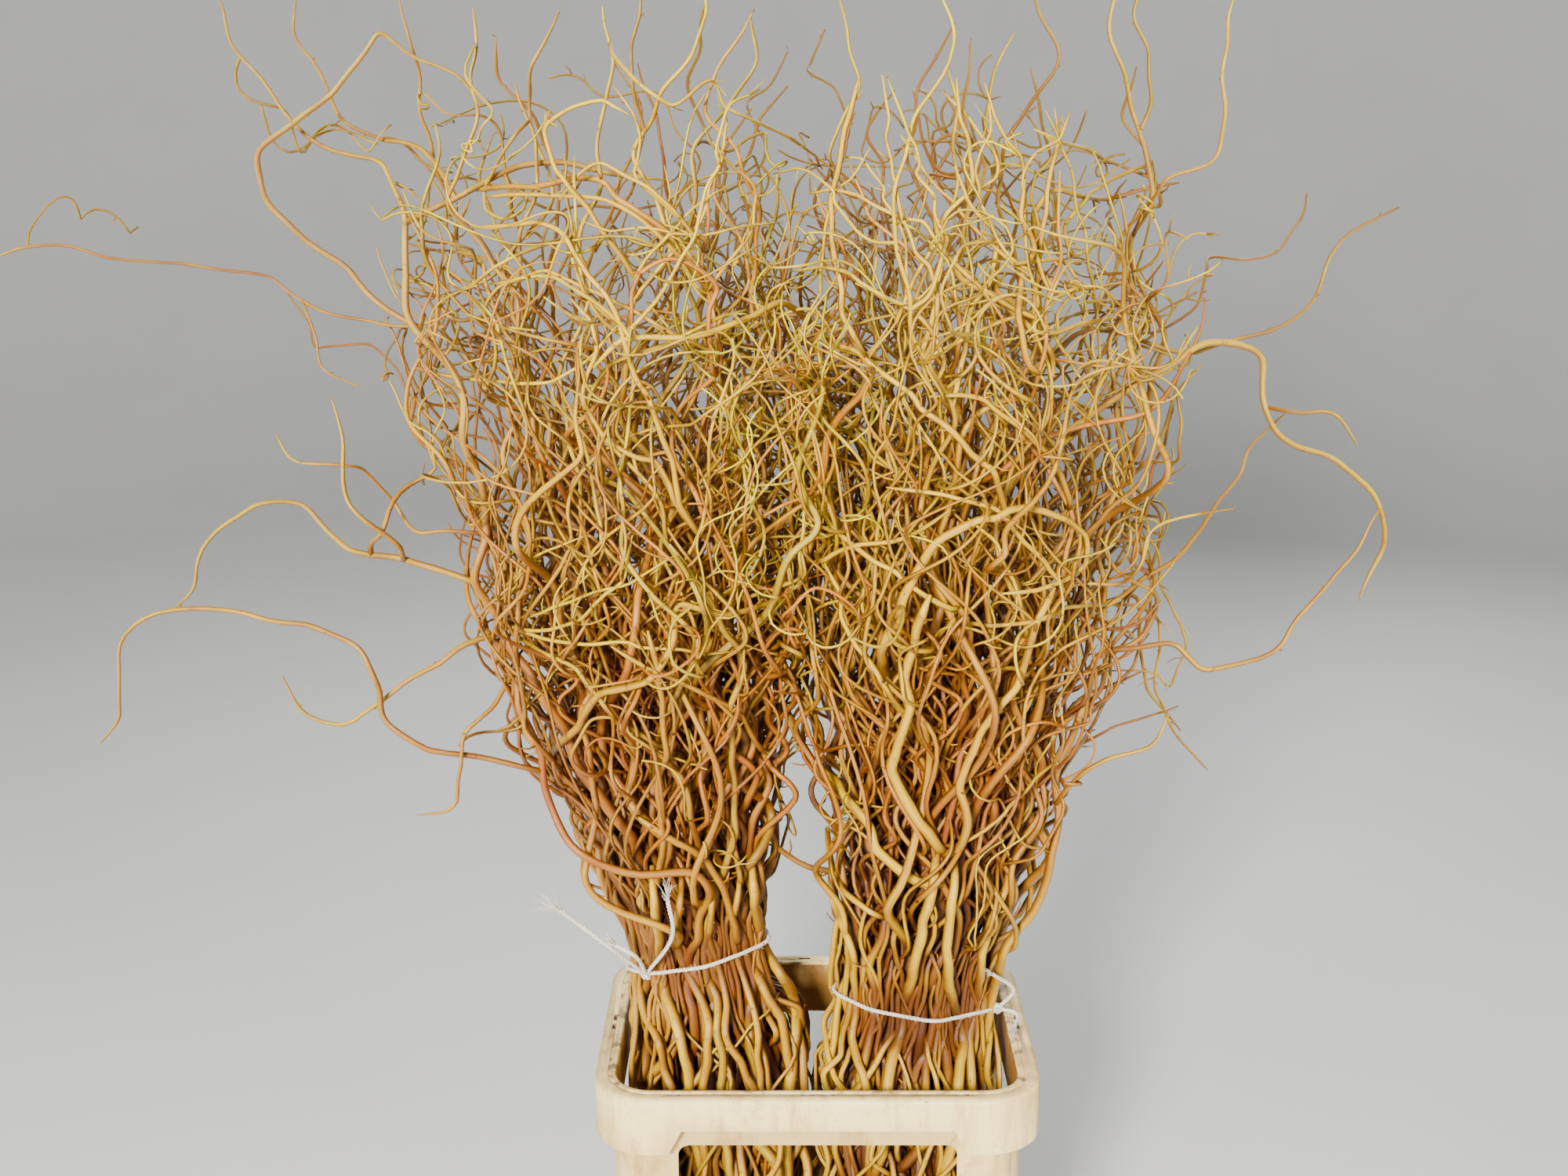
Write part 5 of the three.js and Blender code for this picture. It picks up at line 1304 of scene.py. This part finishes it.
def dress_outstanding(draw, stem, path, radii, bright, standing):
    """One outstanding branch with its buds and, if it doesn't stand in the container, its spurs."""
    skin, side = stem.skin, stem.side
    path = ripple(draw, path, 0.0008, 0.05, TIE_HEIGHT[side])
    gone = lengths_along(path)
    radii = radii * (1 + 0.06 * np.sin(gone * TURN / 0.037 + draw.uniform(0, 6)))

    def age_at(radii):
        return np.interp(radii, (0.0010, 0.0020, 0.0040), (0.85, 0.5, 0.1))

    tone = draw.uniform(0.36, 0.5) if bright > 0.15 else draw.choice((0.05, 0.85))
    sides = 8 if radii.max() > 0.003 else 6
    path, radii = lay_run(skin, side, path, radii, age_at(radii), tone, sides, 0.2, bright)
    buds_along(skin, draw, path, radii, 0.06, 0.08, tone)
    if not standing:
        count = int(gone[-1] / 0.045)
        spurs(skin, draw, path, radii, tone, age_at(radii), count, len(path) // 4, len(path) - 1)


def dress_stems():
    """Grows all stems, with their shoots and outstanding branches, and makes one piece of each."""
    materials = {slot: bark_material(slot) for slot in BARKS}
    slots = {part["node"]: part["material_slot"] for part in frame["record"]["subparts"]}
    nodes = sorted(node for node in frame["nodes"] if node.startswith("willow_"))
    stems = [Stem(node, number) for number, node in enumerate(nodes)]
    for side in SIDES:
        group = [stem for stem in stems if stem.side == side]
        places = [stem.level_place for stem in group]
        outstanding = plan_outstanding(side, group)
        shoots = plan_shoots(side, places, random.Random(side))
        settle(side, places, [stem_at_levels(*plan[1:3]) for plan in outstanding], shoots)
        draw = random.Random("outstanding " + side)
        for plan in outstanding:
            dress_outstanding(draw, *plan)
        for shoot in shoots:
            dress_shoot(group[shoot["stem"]], shoot)
    for stem in stems:
        dress_runs(stem)
        slot = slots[stem.node]
        stem.skin.make(stem.node + "_grown", materials[slot], slot, stem.node)


# ---------------------------------------------------------------- the container

TUB = dict(foot=(0.170, 0.120), foot_corner=0.028, wall=(0.183, 0.133), corner=0.036)
LEDGE = 0.190
LIP = 0.202
FLOOR_TOP = 0.005
PLASTIC_WALL = 0.003
# The container's inside in x and in y, at its floor and from its ledge up.
INSIDE = ((0.167, 0.180), (0.117, 0.130))
RIM = (0.200, 0.150)
RIM_TOP = 0.450
RIM_UNDER = 0.445
RIM_ROUNDING = 0.005
RIM_LIP = 0.0022
RIM_GROOVE = ((0.0056, 0.0), (0.0048, 0.0011), (0.0036, 0.0011), (0.0028, 0.0))  # off the wall, and down
CORNER_MIDDLE = (0.147, 0.097)  # the middle of a rounded corner
SKIRT_FOOT = 0.397
SKIRT_FOOT_MIDDLE = 0.420
SKIRT_RUN = 0.013
WINDOW_HEIGHTS = (0.247, 0.397)
WINDOW_CORNER = 0.010
SLOT_SIZE = (0.011, 0.003)
SLOT_DEPTH = 0.0025
CORNER_PARTS = 14
# Along each axis: the half-widths of a window and of the skirt's step, how far out the windows' cutter
# reaches, and from where to where the step's does.
CUTS = (("y", 0.124, 0.120, 0.141, (0.140, 0.170)), ("x", 0.075, 0.070, 0.191, (0.190, 0.220)))
SHARP = radians(35)  # edges that turn more than this are rounded


def rounded_level(half, corner, z):
    """A rounded rectangle at a height, anticlockwise from above."""
    ring = []
    for quarter, (sx, sy) in enumerate(((1, 1), (-1, 1), (-1, -1), (1, -1))):
        for step in range(CORNER_PARTS + 1):
            angle = (quarter + step / CORNER_PARTS) * pi / 2
            x = sx * (half[0] - corner) + corner * cos(angle)
            y = sy * (half[1] - corner) + corner * sin(angle)
            ring.append((x, y, z))
    return ring


def skinned(name, rings, loop=False):
    """An object skinned over rings, closed at its ends or all round."""
    count, size = len(rings[0]), len(rings) * len(rings[0])
    starts = [*range(0, size, count)]
    faces = bands(count, starts + [0] if loop else starts)
    if not loop:
        faces += [tuple(range(count - 1, -1, -1)), tuple(range(size - count, size))]
    mesh = bpy.data.meshes.new(name)
    mesh.from_pydata([p for ring in rings for p in ring], [], faces)
    work = bmesh.new()
    work.from_mesh(mesh)
    bmesh.ops.recalc_face_normals(work, faces=work.faces)
    work.to_mesh(mesh)
    work.free()
    return linked(name, mesh)


def prism(outline, axis, low, high):
    """A cutter: an outline of (across, height) pairs, drawn out along x or y."""
    rings = [[(d, a, z) if axis == "x" else (a, d, z) for a, z in outline] for d in (low, high)]
    return skinned("cutter", rings)


def window_outline(half):
    low, high = WINDOW_HEIGHTS
    outline = []
    for side, edge, start in ((1, low, -90), (1, high, 0), (-1, high, 90), (-1, low, 180)):
        z = edge + (WINDOW_CORNER if edge == low else -WINDOW_CORNER)
        for step in range(9):
            angle = radians(start + 90 * step / 8)
            x = side * (half - WINDOW_CORNER)
            outline.append((x + WINDOW_CORNER * cos(angle), z + WINDOW_CORNER * sin(angle)))
    return outline


def step_outline(half):
    foot, low, high = half + SKIRT_RUN, SKIRT_FOOT - 0.002, SKIRT_FOOT_MIDDLE
    return [(-foot, low), (foot, low), (half, high), (-half, high)]


def slot_places():
    """The pairs of narrow slots in the rim: middle, and the half-sizes of each."""
    places = []
    x, y = RIM[0] - 0.010, RIM[1] - 0.010
    long, short = SLOT_SIZE[0] / 2, SLOT_SIZE[1] / 2
    for side in (-1, 1):
        for pair in (-0.009, 0.009):
            places.append((pair, side * y, long, short))
            places.append((side * x, pair, short, long))
            places.append((pair + copysign(0.118, pair), side * y, long, short))
    return places


def carved(piece, cutters, bevel):
    """The piece's mesh with the cutters taken out of it and its edges rounded."""
    for cutter in cutters:
        cut = piece.modifiers.new("cut", "BOOLEAN")
        cut.operation = "DIFFERENCE"
        cut.solver = "EXACT"
        cut.object = cutter
    soften = piece.modifiers.new("soften", "BEVEL")
    soften.width = bevel
    soften.segments = 2
    soften.limit_method = "ANGLE"
    soften.angle_limit = SHARP
    piece.modifiers.new("weigh", "WEIGHTED_NORMAL")
    bpy.context.view_layer.update()
    mesh = bpy.data.meshes.new_from_object(piece.evaluated_get(bpy.context.evaluated_depsgraph_get()))
    for old in (piece, *cutters):
        shape = old.data
        bpy.data.objects.remove(old)
        bpy.data.meshes.remove(shape)
    return mesh


def mark_faces(mesh, name, rule):
    """Writes 1 on the faces that the rule picks by their middle and normal, and 0 on the others."""
    layer = mesh.attributes.new(name, "FLOAT", "FACE")
    layer.data.foreach_set("value", [float(rule(face.center, face.normal)) for face in mesh.polygons])


def faces_inward(middle, normal):
    wide, deep = TUB["wall"]
    inside = abs(middle.x) < wide - 0.0024 and abs(middle.y) < deep - 0.0024
    inward = normal.x * (middle.x / wide) + normal.y * (middle.y / deep) < -0.2
    return inside and (inward or normal.z > 0.9) and middle.z < RIM_TOP - 0.003


def in_a_slot(middle, _):
    return RIM_TOP - 0.004 < middle.z <= RIM_TOP - 0.0004 and any(
        abs(middle.x - x) < hx + 0.0003 and abs(middle.y - y) < hy + 0.0003 for x, y, hx, hy in slot_places())


def near_rim_edge(middle, _):
    """The rim's inner lip and the arris of its skirt, where the plastic is scuffed."""
    x, y = abs(middle.x), abs(middle.y)
    over = max(x - TUB["wall"][0], y - TUB["wall"][1])
    corner = hypot(max(x - CORNER_MIDDLE[0], 0), max(y - CORNER_MIDDLE[1], 0)) - TUB["corner"]
    return middle.z > RIM_TOP - 0.003 and max(corner, min(over, corner)) < 0.0056


def make_collar(material):
    def level(by, z):
        half = [size + by for size in TUB["wall"]]
        return rounded_level(half, TUB["corner"] + by, z)

    out = RIM[0] - TUB["wall"][0]
    foot = LEDGE + 0.0003
    skirt_inside = out - PLASTIC_WALL
    profile = [(0, foot), (0, RIM_UNDER)]
    profile += [(skirt_inside, RIM_UNDER), (skirt_inside, SKIRT_FOOT), (out, SKIRT_FOOT)]
    for step in range(6):
        angle = pi / 2 * step / 5
        back = RIM_ROUNDING * (1 - cos(angle))
        profile.append((out - back, RIM_TOP - RIM_ROUNDING + RIM_ROUNDING * sin(angle)))
    # a shallow groove runs round the rim between its flat top and its inner lip
    profile += [(by, RIM_TOP - drop) for by, drop in RIM_GROOVE]
    for step in range(5):
        angle = pi / 2 * step / 4
        profile.append((-PLASTIC_WALL + RIM_LIP * (1 - sin(angle)), RIM_TOP - RIM_LIP + RIM_LIP * cos(angle)))
    profile.append((-PLASTIC_WALL, foot))
    piece = skinned("collar", [level(by, z) for by, z in profile], True)
    cutters = [prism(window_outline(window), axis, -reach, reach) for axis, window, _, reach, _ in CUTS]
    for side in (-1, 1):
        for axis, _, step, _, span in CUTS:
            cutters.append(prism(step_outline(step), axis, *sorted(side * end for end in span)))
    for x, y, hx, hy in slot_places():
        square = [(x - hx, y - hy), (x + hx, y - hy), (x + hx, y + hy), (x - hx, y + hy)]
        heights = (RIM_TOP - SLOT_DEPTH, RIM_TOP + 0.002)
        cutters.append(skinned("cutter", [[(*corner, z) for corner in square] for z in heights]))
    mesh = carved(piece, cutters, 0.0007)
    mark_faces(mesh, "inside", faces_inward)
    mark_faces(mesh, "groove", in_a_slot)
    mark_faces(mesh, "edge", near_rim_edge)
    make_piece("container_collar", mesh, material, "plastic", "holder_collar")


def make_tub(material):
    def level(z, by):
        share = min(z / LEDGE, 1.0)
        half = [a + (b - a) * share + by for a, b in zip(TUB["foot"], TUB["wall"])]
        return rounded_level(half, TUB["foot_corner"] + (TUB["corner"] - TUB["foot_corner"]) * share + by, z)

    play = 0.0005
    out, inside = play + PLASTIC_WALL, -PLASTIC_WALL - play
    profile = ((0, -0.003), (0.0009, -0.0012), (0.003, 0), (0.184, 0), (0.189, out), (LIP, out), (LIP, play),
               (LEDGE, play), (LEDGE, inside), (0.012, -PLASTIC_WALL), (FLOOR_TOP, -0.009))
    mesh = carved(skinned("tub", [level(z, by) for z, by in profile]), [], 0.0006)
    mark_faces(mesh, "inside", faces_inward)
    make_piece("container_tub", mesh, material, "plastic", "holder_base")


# ---------------------------------------------------------------- the ties

STRING_RADIUS = 0.0022
KNOT_ANGLE = {"left": -120, "right": -12}
KNOT_PROUD = 0.0034
KNOT_REACH = 0.011  # half the width of the knot, in which the loop's own outline doesn't show
LAY = 0.011  # the run in which the string's strands turn once round each other
LOOSE_FIBRES = 70
KNOT_TURNS = ((0.5, 0.0034, 0.0), (-0.7, 0.0036, 0.0012), (1.6, 0.0030, -0.0008))  # tilt, size and shift
# The loose tails, by their bends from the knot on, and how much the end is frayed.
TAILS = {
    "left": (
        (((-0.186, -0.096, 0.572), (-0.226, -0.110, 0.612)), 1.0),
        (((-0.128, -0.104, 0.582), (-0.131, -0.122, 0.628)), 0.7),
        (((-0.160, -0.100, 0.560), (-0.178, -0.108, 0.578)), 0.3),
    ),
    "right": (
        (((0.180, -0.050, 0.505), (0.158, -0.070, 0.532)), 0.2),
        (((0.186, -0.036, 0.473), (0.181, -0.054, 0.470)), 0.4),
    ),
}


def any_way(draw, *ranges):
    return np.array([draw.uniform(low, high) for low, high in ranges])


def twisted(skin, draw, path, pitch, thick, ease=0.0):
    """A string along a path: three strands laid round each other."""
    path, _ = smooth_run(path, np.zeros(len(path)), 0.0022)
    marks = lengths_along(path)
    across = frames_along(path)
    for k in range(3):
        angle = TURN * (marks / pitch + k / 3)
        wide = thick * (0.95 + ease * marks / marks[-1])
        wide = wide * (1 + 0.10 * np.sin(marks * 900 + draw.uniform(0, 6)))
        strand = path + across[:, 0] * (wide * np.cos(angle))[:, None]
        strand = strand + across[:, 1] * (wide * np.sin(angle))[:, None]
        skin.tube(strand, np.full(len(path), thick), 6, 0.0, draw.random())


def fray(skin, draw, place, along, amount):
    """Loose fibres at a string's cut end."""
    for _ in range(int(10 + 26 * amount)):
        way = unit(along + any_way(draw, *[(-0.45, 0.45)] * 3))
        length = draw.uniform(0.008, 0.014 + 0.016 * amount)
        bend = unit(way + any_way(draw, (-0.5, 0.5), (-0.5, 0.5), (-0.5, 0.4)))
        root = place - along * draw.uniform(0, 0.006)
        path = [root]
        for straight, bent in ((0.35, 0.0), (0.65, 0.06), (0.7, 0.3)):
            path.append(root + way * length * straight + bend * length * bent)
        skin.tube(path, (0.0004, 0.00035, 0.0003, 0.0002), 3, 0.0, draw.random())


def tie_loop(side):
    """The string's closed run round its bunch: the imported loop's outline, drawn in by the string's radius.

    It comes with the middle of the bunch there, and with which of its points is at the knot.
    """
    corners, _ = merged_mesh("tie_" + side)
    middle = float(at_height(side, TIE_HEIGHT[side])[0])
    plane = tie_plane(side, middle, *corners.T[:2])
    flat = corners[np.abs(corners[:, 2] - plane) < 0.0024][:, :2]
    # by the knot only the loop's own outer side counts
    angle = radians(KNOT_ANGLE[side])
    toward = np.array((cos(angle), sin(angle)))
    across = np.array((-toward[1], toward[0]))
    centre = np.array((middle, 0.0))
    away, beside = (flat - centre) @ toward, (flat - centre) @ across
    knot_at = beside[np.argmax(away)]
    by_knot = (np.abs(beside - knot_at) < KNOT_REACH) & (away > 0)
    held = away[by_knot].min() + 2 * STRING_RADIUS
    flat = np.vstack((flat[~by_knot], centre + toward * held + across * knot_at))
    hull = flat[convex_hull_2d([Vector(place) for place in flat])]
    if np.cross(hull[1] - hull[0], hull[2] - hull[1]) < 0:
        hull = hull[::-1]
    closed = np.concatenate((hull, hull[:1]))
    gone = lengths_along(closed)
    line = sampled(np.linspace(0, gone[-1], 120, endpoint=False), gone, closed)
    ahead = np.roll(line, -2, axis=0) - np.roll(line, 2, axis=0)
    outward = np.stack((ahead[:, 1], -ahead[:, 0]), axis=1) / norms(ahead)[:, None]
    line = line - outward * (STRING_RADIUS - 0.0002)
    line = sum(np.roll(line, k, axis=0) for k in range(-3, 4)) / 7
    aside = np.abs((line - centre) @ across - knot_at) + ((line - centre) @ toward < 0)
    return np.column_stack((line, tie_plane(side, middle, *line.T))), middle, int(np.argmin(aside))


def make_tie(side, material):
    draw = random.Random("tie " + side)
    skin = Skin()
    loop, middle, knotted = tie_loop(side)
    twisted(skin, draw, np.concatenate((loop, loop[:2])), LAY, 0.00105)
    near = loop[knotted]
    out = unit(np.array((near[0] - middle, near[1], 0.0)))
    knot = near + out * KNOT_PROUD
    beside = np.array((-out[1], out[0], 0.0))
    turn = np.linspace(0, TURN, 22)
    # the knot is three turns of the string over each other
    for tilt, size, shift in KNOT_TURNS:
        a = unit(UP * cos(tilt) + beside * sin(tilt))
        b = unit(out * 0.9 + cross(a, out) * 0.45)
        ring = knot + beside * shift + np.outer(np.cos(turn), a) * size + np.outer(np.sin(turn), b) * size
        twisted(skin, draw, ring, LAY, 0.0011)
    for bends, amount in TAILS[side]:
        points = np.array((knot, *bends))
        points[1:-1] += any_way(draw, *[(-0.002, 0.002)] * 3)
        path, _ = smooth_run(points, np.zeros(len(points)))
        twisted(skin, draw, path, 0.012, 0.0010, 0.35 * amount)
        fray(skin, draw, path[-1], unit(path[-1] - path[-3]), amount)
    # loose fibres all along the loop
    for _ in range(LOOSE_FIBRES):
        i = draw.randrange(1, len(loop) - 1)
        away = unit(loop[i] - np.array((middle, 0, loop[i][2])))
        way = unit(any_way(draw, *[(-1, 1)] * 3) + away)
        path = (loop[i], loop[i] + way * 0.003, loop[i] + way * 0.0045 + (loop[i + 1] - loop[i]) * 0.5)
        skin.tube(path, (0.00022, 0.00018, 0.00010), 3, 0.0, draw.random())
    skin.make("string_" + side, material, "string", "tie_" + side)


# ---------------------------------------------------------------- the whole scene

make_camera()
make_floor(floor_material())
make_lights()
plastic = plastic_material()
make_collar(plastic)
make_tub(plastic)
string = string_material()
for side in SIDES:
    make_tie(side, string)
dress_stems()
